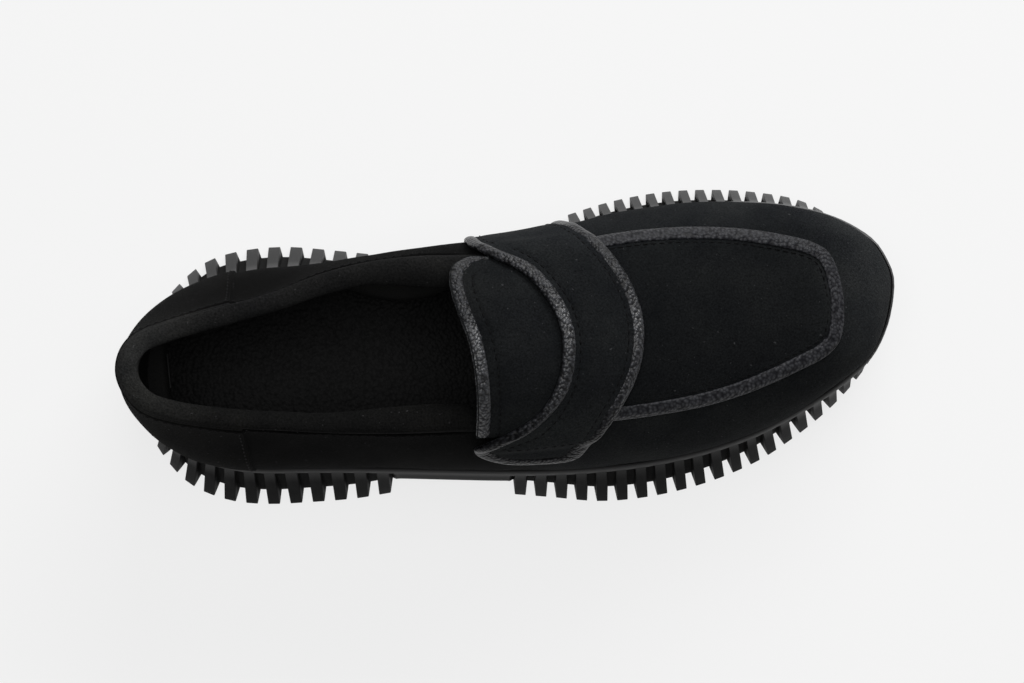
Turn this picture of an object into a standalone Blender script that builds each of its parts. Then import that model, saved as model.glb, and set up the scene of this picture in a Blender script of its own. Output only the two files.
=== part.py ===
"""Suede strap loafer for the right foot, on a toothed rubber sole.

The pieces are an outsole with a comb of lugs round its edge, an insole, a hollow upper with a padded
collar, a tongue flap, an instep strap with a free outer end, and three strips of leather piping.
Frame: +X to the toe, +Y to the inner side of the foot, +Z up, origin on the floor under the middle.
Tables and sizes are in millimetres and the meshes are in metres.
"""

import math

import bmesh
import bpy
import numpy as np

MM = 0.001
GAP = 0.3

# Upper: a row for each section from the toe tip (first) to the back of the heel (last).
# feather: bottom edge of the upper. top: apron seam, which turns into the collar line behind the strap.
# crown: rise of the instep above the top edge. bulge: swell of the wall low down. lean: slope of the wall
# at its top edge, in degrees. flare: how far the lugs stand out past the feather edge on the floor.
SECTION_COLUMNS = (
    "feather_x", "feather_outer", "feather_inner", "top_x", "top_outer", "top_inner", "top_z",
    "crown", "bulge_outer", "bulge_inner", "lean", "flare_outer", "flare_inner",
)
SECTIONS = np.array([
    (139.3, 12.0, 12.0, 115.4, 6.3, 6.3, 57.0, 0.0, 1.0, 1.0, 22, 1.2, 1.2),
    (137.8, 3.5, 18.8, 115.1, 1.0, 11.6, 57.0, 0.4, 1.0, 1.0, 22, 1.4, 1.3),
    (134.6, -5.0, 25.4, 114.2, -4.4, 16.9, 57.2, 1.0, 1.0, 1.0, 23, 1.9, 1.7),
    (129.0, -13.6, 30.8, 112.0, -9.4, 21.2, 57.6, 1.8, 1.1, 1.1, 25, 3.2, 3.0),
    (121.0, -20.2, 36.0, 107.0, -13.2, 24.5, 58.4, 2.6, 1.2, 1.2, 28, 5.0, 5.0),
    (110.0, -26.8, 40.7, 99.0, -16.3, 27.2, 60.0, 3.6, 1.3, 1.3, 32, 7.2, 7.6),
    (96.0, -33.2, 44.2, 89.0, -19.8, 29.8, 62.2, 4.8, 1.5, 1.5, 36, 9.4, 8.6),
    (82.0, -38.2, 46.0, 78.0, -23.0, 31.8, 64.8, 6.0, 1.6, 1.6, 40, 11.2, 9.4),
    (64.0, -42.0, 46.7, 63.0, -25.9, 33.3, 68.0, 7.6, 1.8, 1.8, 44, 12.6, 10.0),
    (45.0, -43.8, 45.8, 45.0, -27.4, 33.5, 72.0, 9.4, 2.0, 1.6, 48, 13.3, 9.6),
    (27.0, -44.0, 42.8, 27.0, -27.9, 32.2, 76.0, 11.4, 2.0, 1.2, 52, 12.8, 9.0),
    (9.0, -43.1, 38.6, 9.0, -28.2, 30.8, 80.0, 13.4, 2.0, 3.2, 57, 10.2, 8.4),
    (-9.0, -41.3, 36.4, -9.0, -28.2, 31.0, 83.6, 15.2, 2.0, 4.5, 63, 8.6, 7.6),
    (-27.0, -39.0, 35.8, -27.0, -27.4, 33.0, 84.6, 16.6, 2.2, 4.8, 70, 8.0, 7.4),
    (-45.0, -36.6, 36.4, -45.0, -26.0, 33.4, 82.4, 17.0, 2.4, 4.6, 76, 8.6, 8.0),
    (-63.0, -34.4, 37.6, -63.0, -23.9, 31.2, 80.4, 17.0, 2.8, 4.0, 78, 11.6, 10.4),
    (-81.0, -32.5, 38.8, -80.0, -21.2, 26.8, 80.0, 17.0, 3.2, 4.0, 79, 13.0, 12.6),
    (-96.0, -31.0, 38.2, -95.0, -18.9, 24.0, 81.6, 17.0, 3.6, 4.0, 80, 13.5, 13.6),
    (-108.0, -28.2, 36.0, -107.0, -16.5, 21.8, 84.0, 17.0, 4.0, 4.0, 81, 13.6, 13.2),
    (-119.0, -23.4, 31.6, -118.0, -13.6, 19.4, 87.0, 17.0, 4.0, 4.0, 82, 12.2, 9.8),
    (-127.6, -16.4, 24.6, -127.0, -9.6, 16.4, 89.4, 17.0, 4.0, 4.0, 83, 8.8, 7.2),
    (-132.8, -7.2, 15.2, -132.2, -3.4, 11.2, 91.0, 17.0, 4.4, 4.4, 84, 6.8, 6.6),
    (-134.6, 4.0, 4.0, -134.2, 4.0, 4.0, 91.5, 17.0, 4.6, 4.6, 84, 6.4, 6.4),
])
HEEL_ROW = len(SECTIONS) - 1
RING = 2 * HEEL_ROW

# Wall of the upper and its padded collar.
WALL_THICKNESS = 2.2
COLLAR_PADDING = 4.6
COLLAR_ROLL = 0.34
COLLAR_FROM_HEIGHT = 0.5
COLLAR_FULL_HEIGHT = 0.85
COLLAR_BLEND_ROWS = 2.0
THROAT_ROW = 12
LOWER_HANDLE = 0.42
UPPER_HANDLE = 0.38
INSTEP_ROUNDNESS = 2.2
STATIONS_PER_ROW = 1.5
WALL_ROWS = 7
INSTEP_POINTS = 9
ROLL_ANGLES = (45.0, 90.0, 135.0)

# Heel counter: an overlay at the back, a step in the wall.
COUNTER_ROW = 17
COUNTER_STEP = 1.0
COUNTER_EDGE_ROWS = 0.06

# Feather line: where upper and sole meet.
HEEL_LIFT = 32.0
BALL_LIFT = 25.5
HEEL_X = -134.0
BALL_X = 50.0
TOE_LIFT = 9.0
TOE_LIFT_FROM = 55.0
TOE_LIFT_LENGTH = 85.0
KNOT_SPACING = 15.0
KNOTS = np.arange(-150.0, 166.0, KNOT_SPACING)

# Outsole.
RIM_TOP_OUT = 0.8
RIM_LOWER_OUT = 2.2
RIM_TOE_LESS = 1.4
RIM_TOE_ROWS = 4.5
RIM_HEEL = 9.0
RIM_BALL = 7.5
TOE_SPRING = 12.0
TOE_SPRING_FROM = 80.0
TOE_SPRING_LENGTH = 60.0
TOE_SPRING_POWER = 1.8
HEEL_BREAST_X = -48.6
TREAD_LINE_X = 9.7
TREAD_LINE_SLANT = 0.325
ARCH_HEIGHT = 13.0
ARCH_RAMP = 2.0
WAIST_OUT = 4.0
WAIST_COLUMNS = 9

# Lugs: shares of the pitch, and slot depths at the floor and at the rim.
HEEL_LUG_ROWS = (14.16, 29.80)
FOREFOOT_LUG_ROWS = (33.98, 55.82)
HEEL_PITCH = (8.33, 8.33)
FOREFOOT_PITCH = (5.97, 7.76)
LUG_TIP_SHARE = 0.53
LUG_ROOT_SHARE = 0.68
LUG_TOP_SHARE = 0.53
SLOT_DEPTH_FLOOR = 4.0
SLOT_OUTER_MORE = 1.7
SLOT_BLEND_ROWS = 4.0
SLOT_DEPTH_RIM = 2.2

# Insole.
INSOLE_INSET = 3.0
INSOLE_THICKNESS = 4.5
INSOLE_STATIONS_PER_ROW = 1.5

# Flat pattern of the overlays: q runs across the instep from its middle, x along the shoe.
INSTEP_HALF = 34.0
WALL_LENGTH = 58.0
SEAM_BLEND = 6.0

TONGUE_THICKNESS = 2.0
TONGUE_REST = 0.6
TONGUE_FRONT_X = 28.0
TONGUE_EDGE_COLUMNS = ("q", "rear_x")
TONGUE_EDGE = np.array([
    (-36.0, -16.0), (-24.0, -14.5), (-12.0, -14.2), (0.0, -15.3), (10.0, -17.8),
    (18.0, -19.3), (24.0, -19.2), (28.5, -17.4), (31.5, -12.5),
])
TONGUE_TAPER = 0.15
TONGUE_COLUMNS = 15
TONGUE_ROWS = 7

STRAP_THICKNESS = 2.2
STRAP_REST = 0.6
STRAP_OVER_TONGUE = TONGUE_REST + TONGUE_THICKNESS + 2 * GAP
STRAP_RAMP_X = (33.0, 41.0)
STRAP_RAMP_Q = (38.0, 47.0)
STRAP_EDGE_COLUMNS = ("q", "rear_x", "front_x")
STRAP_EDGES = np.array([
    (-58.5, -1.0, 12.4), (-57.5, -5.8, 16.2), (-55.0, -10.4, 19.0), (-51.0, -14.8, 20.7),
    (-47.0, -16.6, 22.5), (-43.0, -16.8, 24.3), (-38.5, -14.4, 26.4), (-34.0, -7.3, 29.4),
    (-30.0, 1.6, 33.0), (-24.0, 8.6, 37.7), (-17.0, 12.7, 41.3), (-8.5, 14.9, 43.6),
    (0.0, 15.3, 44.2), (7.0, 13.9, 43.5), (15.0, 10.2, 41.4), (24.0, 3.4, 37.4),
    (29.0, -4.0, 34.4), (34.0, -9.9, 31.2), (40.0, -12.0, 28.6), (48.5, -12.6, 26.5),
    (63.0, -12.6, 24.0), (85.0, -12.0, 21.0),
])
STRAP_ROWS = 38
STRAP_POINTS = 8

# Piping: rounded leather strips, given by their width and by the height of their middle and edges.
PIPING_WIDTH = 4.2
APRON_PIPING_WIDTH = 5.2
PIPING_GAP = 0.7
PIPING_CROWN = 1.0
PIPING_EDGE = 0.3
PIPING_PROFILE = np.array([0.0, 0.75, 1.0, 0.75, 0.0])
APRON_PIPING_END_ROW = 10.2
TONGUE_PIPING_STATIONS = 19
STRAP_PIPING_STATIONS = 62

COLOURS = {
    "rubber": (0.020, 0.020, 0.021, 0.62),
    "suede": (0.006, 0.006, 0.007, 0.95),
    "leather": (0.045, 0.047, 0.055, 0.50),
    "sock": (0.009, 0.009, 0.010, 0.60),
}


# Shared maths

def smooth_step(value):
    t = np.clip(value, 0.0, 1.0)
    return t * t * (3.0 - 2.0 * t)


def unit(vectors):
    return vectors / np.linalg.norm(vectors, axis=-1, keepdims=True)


def closed_column(outer, inner=None):
    """A section column as a closed ring: toe to heel on the outer side, then back on the inner side."""
    outer_values = SECTIONS[:, SECTION_COLUMNS.index(outer)]
    inner_values = SECTIONS[:, SECTION_COLUMNS.index(inner or outer)]
    return np.concatenate([outer_values, inner_values[-2:0:-1]])


RINGS = {
    "feather_x": closed_column("feather_x"),
    "feather_y": closed_column("feather_outer", "feather_inner"),
    "top_x": closed_column("top_x"),
    "top_y": closed_column("top_outer", "top_inner"),
    "top_z": closed_column("top_z"),
    "crown": closed_column("crown"),
    "bulge": closed_column("bulge_outer", "bulge_inner"),
    "lean": closed_column("lean"),
    "flare": closed_column("flare_outer", "flare_inner"),
}


def ring_value(name, row):
    """A ring column on a smooth closed curve through its rows, at any row position."""
    knots = RINGS[name]
    row = np.asarray(row, float)
    first = np.floor(row).astype(int)
    t = row - first
    a, b, c, d = (knots[(first + step) % RING] for step in (-1, 0, 1, 2))
    return 0.5 * (2 * b + (c - a) * t + (2 * a - 5 * b + 4 * c - d) * t ** 2 + (3 * b - a - 3 * c + d) * t ** 3)


# Form of the last

def feather_curve(x):
    """Height of the feather line: high at the heel, low at the ball, lifting again to the toe."""
    drop = smooth_step((np.asarray(x, float) - HEEL_X) / (BALL_X - HEEL_X))
    lift = np.maximum(0.0, (x - TOE_LIFT_FROM) / TOE_LIFT_LENGTH) ** 2
    return HEEL_LIFT - (HEEL_LIFT - BALL_LIFT) * drop + TOE_LIFT * lift


def feather_height(x):
    return np.interp(x, KNOTS, feather_curve(KNOTS))


def feather_plan(row):
    return np.stack([ring_value("feather_x", row), ring_value("feather_y", row)], axis=-1)


def outward(row):
    """Level unit vector that points out of the shoe at a ring row."""
    row = np.asarray(row, float)
    run = feather_plan(row + 0.05) - feather_plan(row - 0.05)
    flat = np.stack([-run[..., 1], run[..., 0], np.zeros_like(row)], axis=-1)
    return unit(flat)


def top_point(row):
    return np.stack([ring_value(name, row) for name in ("top_x", "top_y", "top_z")], axis=-1)


def wall_point(row, height):
    """Outside of the upper's wall. height runs from 0 at the feather edge to 1 at the top edge."""
    row, height = np.broadcast_arrays(np.asarray(row, float), np.asarray(height, float))
    plan = feather_plan(row)
    foot = np.concatenate([plan, feather_height(plan[..., :1])], axis=-1)
    top = top_point(row)
    out = outward(row)
    up = np.array([0.0, 0.0, 1.0])
    rise = (top - foot)[..., 2:]
    lean = np.radians(ring_value("lean", row))[..., None]
    chord = np.linalg.norm(top - foot, axis=-1, keepdims=True)
    low = foot + up * rise * LOWER_HANDLE + out * ring_value("bulge", row)[..., None]
    high = top + (out * np.cos(lean) - up * np.sin(lean)) * chord * UPPER_HANDLE
    t = height[..., None]
    return foot * (1 - t) ** 3 + low * 3 * t * (1 - t) ** 2 + high * 3 * t * t * (1 - t) + top * t ** 3


def instep_point(row, across):
    """Outside of the apron and instep. across runs from -1 at the outer seam to 1 at the inner seam."""
    row, across = np.broadcast_arrays(np.asarray(row, float), np.asarray(across, float))
    share = (1 + across[..., None]) / 2
    point = top_point(row) * (1 - share) + top_point(RING - row) * share
    arch = ring_value("crown", row) * (1 - np.abs(across) ** INSTEP_ROUNDNESS)
    return point + np.stack([np.zeros_like(arch), np.zeros_like(arch), arch], axis=-1)


def surface_normal(function, first, second, step_first, step_second):
    run = function(first + step_first, second) - function(first - step_first, second)
    rise = function(first, second + step_second) - function(first, second - step_second)
    return unit(np.cross(run, rise))


def wall_normal(row, height):
    row, height = np.broadcast_arrays(np.asarray(row, float), np.asarray(height, float))
    return surface_normal(wall_point, row, np.clip(height, 0.01, 0.99), 0.03, 0.01) * -1.0


def instep_normal(row, across):
    row, across = np.broadcast_arrays(np.asarray(row, float), np.asarray(across, float))
    return surface_normal(instep_point, np.maximum(row, 0.1), np.clip(across, -0.97, 0.97), 0.05, 0.02) * -1.0


def wrap(q, x, lift):
    """Lays a flat pattern point on the upper: q across from the instep's middle, x along, lift off the surface."""
    q, x, lift = np.broadcast_arrays(*(np.asarray(v, float) for v in (q, x, lift)))
    rows = np.linspace(6.0, 16.0, 201)
    row = np.interp(-x, -ring_value("top_x", rows), rows)
    side_row = np.where(q < 0, row, RING - row)
    across = np.clip(q / INSTEP_HALF, -1.0, 1.0)
    height = np.clip(1.0 - (np.abs(q) - INSTEP_HALF) / WALL_LENGTH, 0.0, 1.0)
    on_wall = (np.abs(q) > INSTEP_HALF)[..., None]
    point = np.where(on_wall, wall_point(side_row, height), instep_point(row, across))
    share = smooth_step((np.abs(q) - INSTEP_HALF + SEAM_BLEND) / (2 * SEAM_BLEND))[..., None]
    normal = unit(instep_normal(row, across) * (1 - share) + wall_normal(side_row, height) * share)
    return point + normal * lift[..., None]


# Meshes

def new_mesh_object(name, mesh_data, material):
    mesh = bpy.data.meshes.new(name)
    mesh_data.to_mesh(mesh)
    mesh_data.free()
    mesh.shade_smooth()
    mesh.set_sharp_from_angle(angle=math.radians(35))
    mesh.materials.append(material)
    obj = bpy.data.objects.new(name, mesh)
    shoe_collection.objects.link(obj)
    return obj


def add_grid(mesh_data, points, closed=False):
    """Quads over a grid of points; closed joins the last row of the grid to the first."""
    rows = [[mesh_data.verts.new(p * MM) for p in line] for line in points]
    pairs = list(zip(rows, rows[1:]))
    if closed:
        pairs.append((rows[-1], rows[0]))
    for line, next_line in pairs:
        for j in range(len(line) - 1):
            mesh_data.faces.new((line[j], line[j + 1], next_line[j + 1], next_line[j]))


def close_up(mesh_data):
    """Welds the grids of one solid along their shared edges and turns its faces outwards."""
    bmesh.ops.remove_doubles(mesh_data, verts=mesh_data.verts, dist=0.002 * MM)
    bmesh.ops.dissolve_degenerate(mesh_data, edges=mesh_data.edges, dist=0.001 * MM)
    bmesh.ops.recalc_face_normals(mesh_data, faces=mesh_data.faces)


def slab(name, lower, upper, material):
    """A closed sheet between two grids of points of the same size."""
    mesh_data = bmesh.new()
    add_grid(mesh_data, lower)
    add_grid(mesh_data, upper)
    for end in (0, -1):
        add_grid(mesh_data, [lower[end], upper[end]])
        add_grid(mesh_data, [lower[:, end], upper[:, end]])
    close_up(mesh_data)
    return new_mesh_object(name, mesh_data, material)


def cut_cap(mesh_data, level, planes):
    """Cuts the flat faces at this level along upright planes, so that they can fold there."""
    for point, normal in planes:
        cap = [f for f in mesh_data.faces if all(abs(v.co.z - level * MM) < 1e-7 for v in f.verts)]
        parts = set(cap)
        for face in cap:
            parts.update(face.verts)
            parts.update(face.edges)
        bmesh.ops.bisect_plane(mesh_data, geom=list(parts), dist=1e-7, plane_co=point, plane_no=normal)


def stacked_rings(rings):
    """A solid of closed rings of points, lowest first, with flat caps on the first and the last."""
    mesh_data = bmesh.new()
    around = np.stack(rings, axis=1)
    add_grid(mesh_data, around, closed=True)
    bmesh.ops.remove_doubles(mesh_data, verts=mesh_data.verts, dist=0.002 * MM)
    bmesh.ops.holes_fill(mesh_data, edges=[e for e in mesh_data.edges if e.is_boundary])
    bmesh.ops.recalc_face_normals(mesh_data, faces=mesh_data.faces)
    return mesh_data


def bend_cap(mesh_data, level, planes, height):
    """Folds the flat cap at this level to a height that depends on x and y."""
    cut_cap(mesh_data, level, planes)
    for vert in mesh_data.verts:
        if abs(vert.co.z - level * MM) < 1e-7:
            vert.co.z = float(height(vert.co.x / MM, vert.co.y / MM)) * MM


def knot_planes():
    return [((x * MM, 0, 0), (1, 0, 0)) for x in KNOTS]


# Outsole

def rim_height(x):
    """Underside of the sole's plain rim, where the slots between the lugs end."""
    share = smooth_step((np.asarray(x, float) - HEEL_X) / (BALL_X - HEEL_X))
    return feather_height(x) - RIM_HEEL - (RIM_BALL - RIM_HEEL) * share


def sole_bottom(x, y):
    """Tread: flat under heel and ball, raised at the arch, curving up to the toe."""
    behind = (x - HEEL_BREAST_X) / ARCH_RAMP
    ahead = (TREAD_LINE_X + TREAD_LINE_SLANT * y - x) / ARCH_RAMP
    arch = ARCH_HEIGHT * min(max(behind, 0.0), max(ahead, 0.0), 1.0)
    spring = TOE_SPRING * np.maximum(0.0, (KNOTS - TOE_SPRING_FROM) / TOE_SPRING_LENGTH) ** TOE_SPRING_POWER
    return max(arch, float(np.interp(x, KNOTS, spring)))


def sole_point(row, out, z):
    plan = feather_plan(row) + outward(row)[..., :2] * out
    return np.array([plan[0], plan[1], z])


def rim_out(row):
    """How far the rim's lower edge stands out past the feather edge: least round the toe."""
    from_toe = np.minimum(row % RING, RING - row % RING)
    return RIM_LOWER_OUT - RIM_TOE_LESS * smooth_step(1.0 - from_toe / RIM_TOE_ROWS)


def rim_points(row):
    plan = feather_plan(row)
    lower = sole_point(row, rim_out(row), rim_height(plan[0]))
    return lower, sole_point(row, RIM_TOP_OUT, TOP_LEVEL)


FLOOR_LEVEL = 0.0
TOP_LEVEL = 60.0


def waist_column(row):
    """Four points up the plain side of the waist: bottom edge, rim twice, and top edge."""
    rim, top = rim_points(row)
    return [sole_point(row, WAIST_OUT, FLOOR_LEVEL), rim, rim, top]


def slot_depth(row):
    """Depth of the slots at the floor: more on the outer side."""
    from_ends = np.minimum(row % RING, HEEL_ROW - row % RING)
    return SLOT_DEPTH_FLOOR + SLOT_OUTER_MORE * smooth_step(from_ends / SLOT_BLEND_ROWS)


def lug_columns(start, end, row_at):
    """Four columns round one lug: slot floor, lug corner, lug corner, slot floor."""
    middle, pitch = (start + end) / 2, end - start
    columns = []
    for side, at_tip in ((-1, False), (-1, True), (1, True), (1, False)):
        share = LUG_TIP_SHARE if at_tip else LUG_ROOT_SHARE
        foot_row = row_at(middle + side * pitch * share / 2)
        top_row = row_at(middle + side * pitch * LUG_TOP_SHARE / 2)
        rim, top = rim_points(top_row)
        flare = ring_value("flare", foot_row)
        if at_tip:
            columns.append([sole_point(foot_row, flare, FLOOR_LEVEL), rim, rim, top])
        else:
            inset = sole_point(top_row, rim_out(top_row) - SLOT_DEPTH_RIM, rim[2])
            foot = sole_point(foot_row, flare - slot_depth(foot_row), FLOOR_LEVEL)
            columns.append([foot, inset, rim, top])
    return columns


def lug_row(rows, pitches):
    """All columns of a run of lugs whose pitch changes evenly from its first value to its last."""
    samples = np.linspace(*rows, 400)
    tips = feather_plan(samples) + outward(samples)[..., :2] * ring_value("flare", samples)[..., None]
    lengths = np.concatenate([[0.0], np.cumsum(np.linalg.norm(np.diff(tips, axis=0), axis=1))])
    count = round(lengths[-1] / (sum(pitches) / 2))
    growth = (pitches[1] / pitches[0] - 1.0) / 2
    share = np.linspace(0.0, 1.0, count + 1)
    edges = lengths[-1] * share * (1 + growth * share) / (1 + growth)

    def row_at(length):
        return np.interp(length, lengths, samples)

    return [column for start, end in zip(edges, edges[1:]) for column in lug_columns(start, end, row_at)]


def waist_columns(rows):
    return [waist_column(row) for row in np.linspace(*rows, WAIST_COLUMNS)]


def make_outsole(material):
    heel_start, heel_end = HEEL_LUG_ROWS
    toe_start, toe_end = FOREFOOT_LUG_ROWS
    columns = lug_row(HEEL_LUG_ROWS, HEEL_PITCH)
    columns += waist_columns((heel_end, toe_start))
    columns += lug_row(FOREFOOT_LUG_ROWS, FOREFOOT_PITCH)
    columns += waist_columns((toe_end, heel_start + RING))
    mesh_data = stacked_rings([np.array(ring) for ring in zip(*columns)])
    breast = [((x * MM, 0, 0), (1, 0, 0)) for x in (HEEL_BREAST_X, HEEL_BREAST_X + ARCH_RAMP)]
    tread = [((x * MM, 0, 0), (1, -TREAD_LINE_SLANT, 0)) for x in (TREAD_LINE_X, TREAD_LINE_X - ARCH_RAMP)]
    bend_cap(mesh_data, TOP_LEVEL, knot_planes(), lambda x, y: feather_height(x) - GAP)
    bend_cap(mesh_data, FLOOR_LEVEL, breast + tread + knot_planes(), sole_bottom)
    return new_mesh_object("outsole", mesh_data, material)


# Insole

def make_insole(material):
    rows = np.arange(0, RING, 1 / INSOLE_STATIONS_PER_ROW)
    edge = feather_plan(rows) - outward(rows)[..., :2] * INSOLE_INSET
    low = np.column_stack([edge, np.full(len(edge), FLOOR_LEVEL)])
    high = np.column_stack([edge, np.full(len(edge), TOP_LEVEL)])
    mesh_data = stacked_rings([low, high])
    bend_cap(mesh_data, TOP_LEVEL, knot_planes(), lambda x, y: feather_height(x) + INSOLE_THICKNESS)
    bend_cap(mesh_data, FLOOR_LEVEL, knot_planes(), lambda x, y: feather_height(x))
    return new_mesh_object("insole", mesh_data, material)


# Upper

def padding(row, height):
    """Wall thickness, growing to the padded collar round the opening."""
    around = smooth_step((row - THROAT_ROW) / COLLAR_BLEND_ROWS)
    around = around * smooth_step((RING - THROAT_ROW - row) / COLLAR_BLEND_ROWS)
    upwards = smooth_step((height - COLLAR_FROM_HEIGHT) / (COLLAR_FULL_HEIGHT - COLLAR_FROM_HEIGHT))
    return WALL_THICKNESS + COLLAR_PADDING * around * upwards


def on_counter(row):
    return np.where((row > COUNTER_ROW) & (row < RING - COUNTER_ROW), COUNTER_STEP, 0.0)


def in_collar(row):
    return (row > THROAT_ROW) & (row < RING - THROAT_ROW)


def wall_inside(row, height):
    return wall_point(row, height) - wall_normal(row, height) * padding(row, height)[..., None]


def top_inside(row):
    """Inside of the top edge: on the apron it follows both the wall and the apron."""
    section = np.where(row > HEEL_ROW, RING - row, row)
    side = np.where(row > HEEL_ROW, 1.0, -1.0)
    share = np.where(in_collar(row), 0.0, 0.5)[..., None]
    normal = unit(wall_normal(row, 1.0) * (1 - share) + instep_normal(section, side) * share)
    return top_point(row) - normal * padding(row, 1.0)[..., None]


def make_upper(material):
    rows = np.arange(0, RING * STATIONS_PER_ROW) / STATIONS_PER_ROW
    edges = [COUNTER_ROW + COUNTER_EDGE_ROWS, RING - COUNTER_ROW - COUNTER_EDGE_ROWS]
    rows = np.sort(np.concatenate([rows, edges]))
    heights = np.linspace(0.0, 1.0, WALL_ROWS)
    row_grid, height_grid = np.meshgrid(rows, heights, indexing="ij")
    step = on_counter(row_grid)[..., None] * wall_normal(row_grid, height_grid)
    outside = wall_point(row_grid, height_grid) + step
    inside = wall_inside(row_grid, height_grid)
    inside[:, -1] = top_inside(rows)

    front = rows[rows <= THROAT_ROW]
    across = np.linspace(-1.0, 1.0, INSTEP_POINTS)
    front_grid, across_grid = np.meshgrid(front, across, indexing="ij")
    apron = instep_point(front_grid, across_grid)
    apron_inside = apron - instep_normal(front_grid, across_grid) * WALL_THICKNESS
    apron_inside[:, 0] = top_inside(front)
    apron_inside[:, -1] = top_inside((RING - front) % RING)
    apron_inside[0] = top_inside(np.zeros(1))

    collar = np.nonzero((rows >= THROAT_ROW) & (rows <= RING - THROAT_ROW))[0]
    lip_out = np.concatenate([outside[collar, -1], apron[-1, -2:0:-1]])
    lip_in = np.concatenate([inside[collar, -1], apron_inside[-1, -2:0:-1]])
    thickness = np.linalg.norm(lip_out - lip_in, axis=1)
    roll = COLLAR_ROLL * np.maximum(thickness - WALL_THICKNESS, 0.0)
    lip = [lip_out]
    for angle in np.radians(ROLL_ANGLES):
        share = (1 - math.cos(angle)) / 2
        arc = lip_out * (1 - share) + lip_in * share
        arc[:, 2] += roll * math.sin(angle)
        lip.append(arc)
    lip.append(lip_in)

    mesh_data = bmesh.new()
    add_grid(mesh_data, outside, closed=True)
    add_grid(mesh_data, inside, closed=True)
    add_grid(mesh_data, np.stack([outside[:, 0], inside[:, 0]], axis=1), closed=True)
    add_grid(mesh_data, apron)
    add_grid(mesh_data, apron_inside)
    add_grid(mesh_data, np.stack(lip, axis=1), closed=True)
    close_up(mesh_data)
    return new_mesh_object("upper", mesh_data, material)


# Tongue and strap

def tongue_rear(q):
    return np.interp(q, *TONGUE_EDGE.T)


def make_tongue(material):
    q = np.linspace(TONGUE_EDGE[0, 0], TONGUE_EDGE[-1, 0], TONGUE_COLUMNS)
    share = np.linspace(0.0, 1.0, TONGUE_ROWS)[None, :]
    x = tongue_rear(q)[:, None] * (1 - share) + TONGUE_FRONT_X * share
    q = q[:, None] * (1.0 - TONGUE_TAPER * smooth_step(share))
    lower = wrap(q, x, TONGUE_REST)
    upper = wrap(q, x, TONGUE_REST + TONGUE_THICKNESS)
    return slab("tongue", lower, upper, material)


def strap_lift(q, x):
    """Height of the strap's underside: over the tongue it rides up, and its edges come down to the upper."""
    along = 1.0 - smooth_step((x - STRAP_RAMP_X[0]) / (STRAP_RAMP_X[1] - STRAP_RAMP_X[0]))
    aside = 1.0 - smooth_step((np.abs(q) - STRAP_RAMP_Q[0]) / (STRAP_RAMP_Q[1] - STRAP_RAMP_Q[0]))
    return STRAP_REST + (STRAP_OVER_TONGUE - STRAP_REST) * along * aside


def strap_edges(q):
    return np.interp(q, *STRAP_EDGES[:, :2].T), np.interp(q, STRAP_EDGES[:, 0], STRAP_EDGES[:, 2])


def make_strap(material):
    q = np.linspace(STRAP_EDGES[0, 0], STRAP_EDGES[-1, 0], STRAP_ROWS)[:, None]
    rear, front = strap_edges(q)
    share = np.linspace(0.0, 1.0, STRAP_POINTS)[None, :]
    x = rear * (1 - share) + front * share
    lift = strap_lift(q, x)
    return slab("strap", wrap(q, x, lift), wrap(q, x, lift + STRAP_THICKNESS), material)


# Piping

def piping_heights():
    return PIPING_GAP + PIPING_EDGE + (PIPING_CROWN - PIPING_EDGE) * PIPING_PROFILE


def apron_at(x, y):
    """Place on the apron above a plan point, and the normal there."""
    rows = np.linspace(0.0, 14.0, 281)
    row = np.interp(-x, -ring_value("top_x", rows), rows)
    low, high = top_point(row)[..., 1], top_point(RING - row)[..., 1]
    across = np.clip((2 * y - low - high) / np.maximum(high - low, 0.1), -1.0, 1.0)
    return instep_point(row, across)


def make_apron_piping(material):
    """A strip over the apron seam, half on the wall and half on the apron."""
    rows = np.arange(-15, 16) / STATIONS_PER_ROW
    rows[0], rows[-1] = -APRON_PIPING_END_ROW, APRON_PIPING_END_ROW
    ring = rows % RING
    section = np.abs(rows)
    side = np.where(rows < 0, 1.0, -1.0)
    top = top_point(ring)
    normal = unit(wall_normal(ring, 1.0) + instep_normal(section, side))
    run = top_point(ring + 0.1)[:, :2] - top_point(ring - 0.1)[:, :2]
    inwards = unit(np.stack([run[:, 1], -run[:, 0]], axis=1))
    wall_span = np.linalg.norm(top - wall_point(ring, 0.8), axis=1) / 0.2
    lower, upper = [], []
    for share, height in zip(np.linspace(-1.0, 1.0, len(PIPING_PROFILE)), piping_heights()):
        aside = abs(share) * APRON_PIPING_WIDTH / 2
        if share < 0:
            base = wall_point(ring, 1.0 - aside / wall_span)
        else:
            base = apron_at(*(top[:, :2] + inwards * aside).T)
        lower.append(base + normal * PIPING_GAP)
        upper.append(base + normal * height)
    return slab("apron_piping", np.stack(lower, axis=1), np.stack(upper, axis=1), material)


def edge_strip(path, lift):
    """Lower and upper grids of a strip that lies inside a flat pattern edge, on its left-hand side."""
    run = unit(np.gradient(path, axis=0))
    inside = np.stack([-run[:, 1], run[:, 0]], axis=1)
    share = np.linspace(0.0, 1.0, len(PIPING_PROFILE))[None, :, None]
    flat = path[:, None, :] + inside[:, None, :] * PIPING_WIDTH * share
    q, x = flat[..., 0], flat[..., 1]
    base = lift(q, x)
    return wrap(q, x, base + PIPING_GAP), wrap(q, x, base + piping_heights()[None, :])


def spaced(points, count):
    """Points spread evenly along a path, on a smooth curve through its corners."""
    lengths = np.concatenate([[0.0], np.cumsum(np.linalg.norm(np.diff(points, axis=0), axis=1))])
    even = np.linspace(0.0, lengths[-1], count)
    return np.column_stack([np.interp(even, lengths, points[:, k]) for k in (0, 1)])


def make_tongue_piping(material):
    path = spaced(TONGUE_EDGE, TONGUE_PIPING_STATIONS)
    lower, upper = edge_strip(path, lambda q, x: np.full_like(q, TONGUE_REST + TONGUE_THICKNESS))
    return slab("tongue_piping", lower, upper, material)


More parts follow.
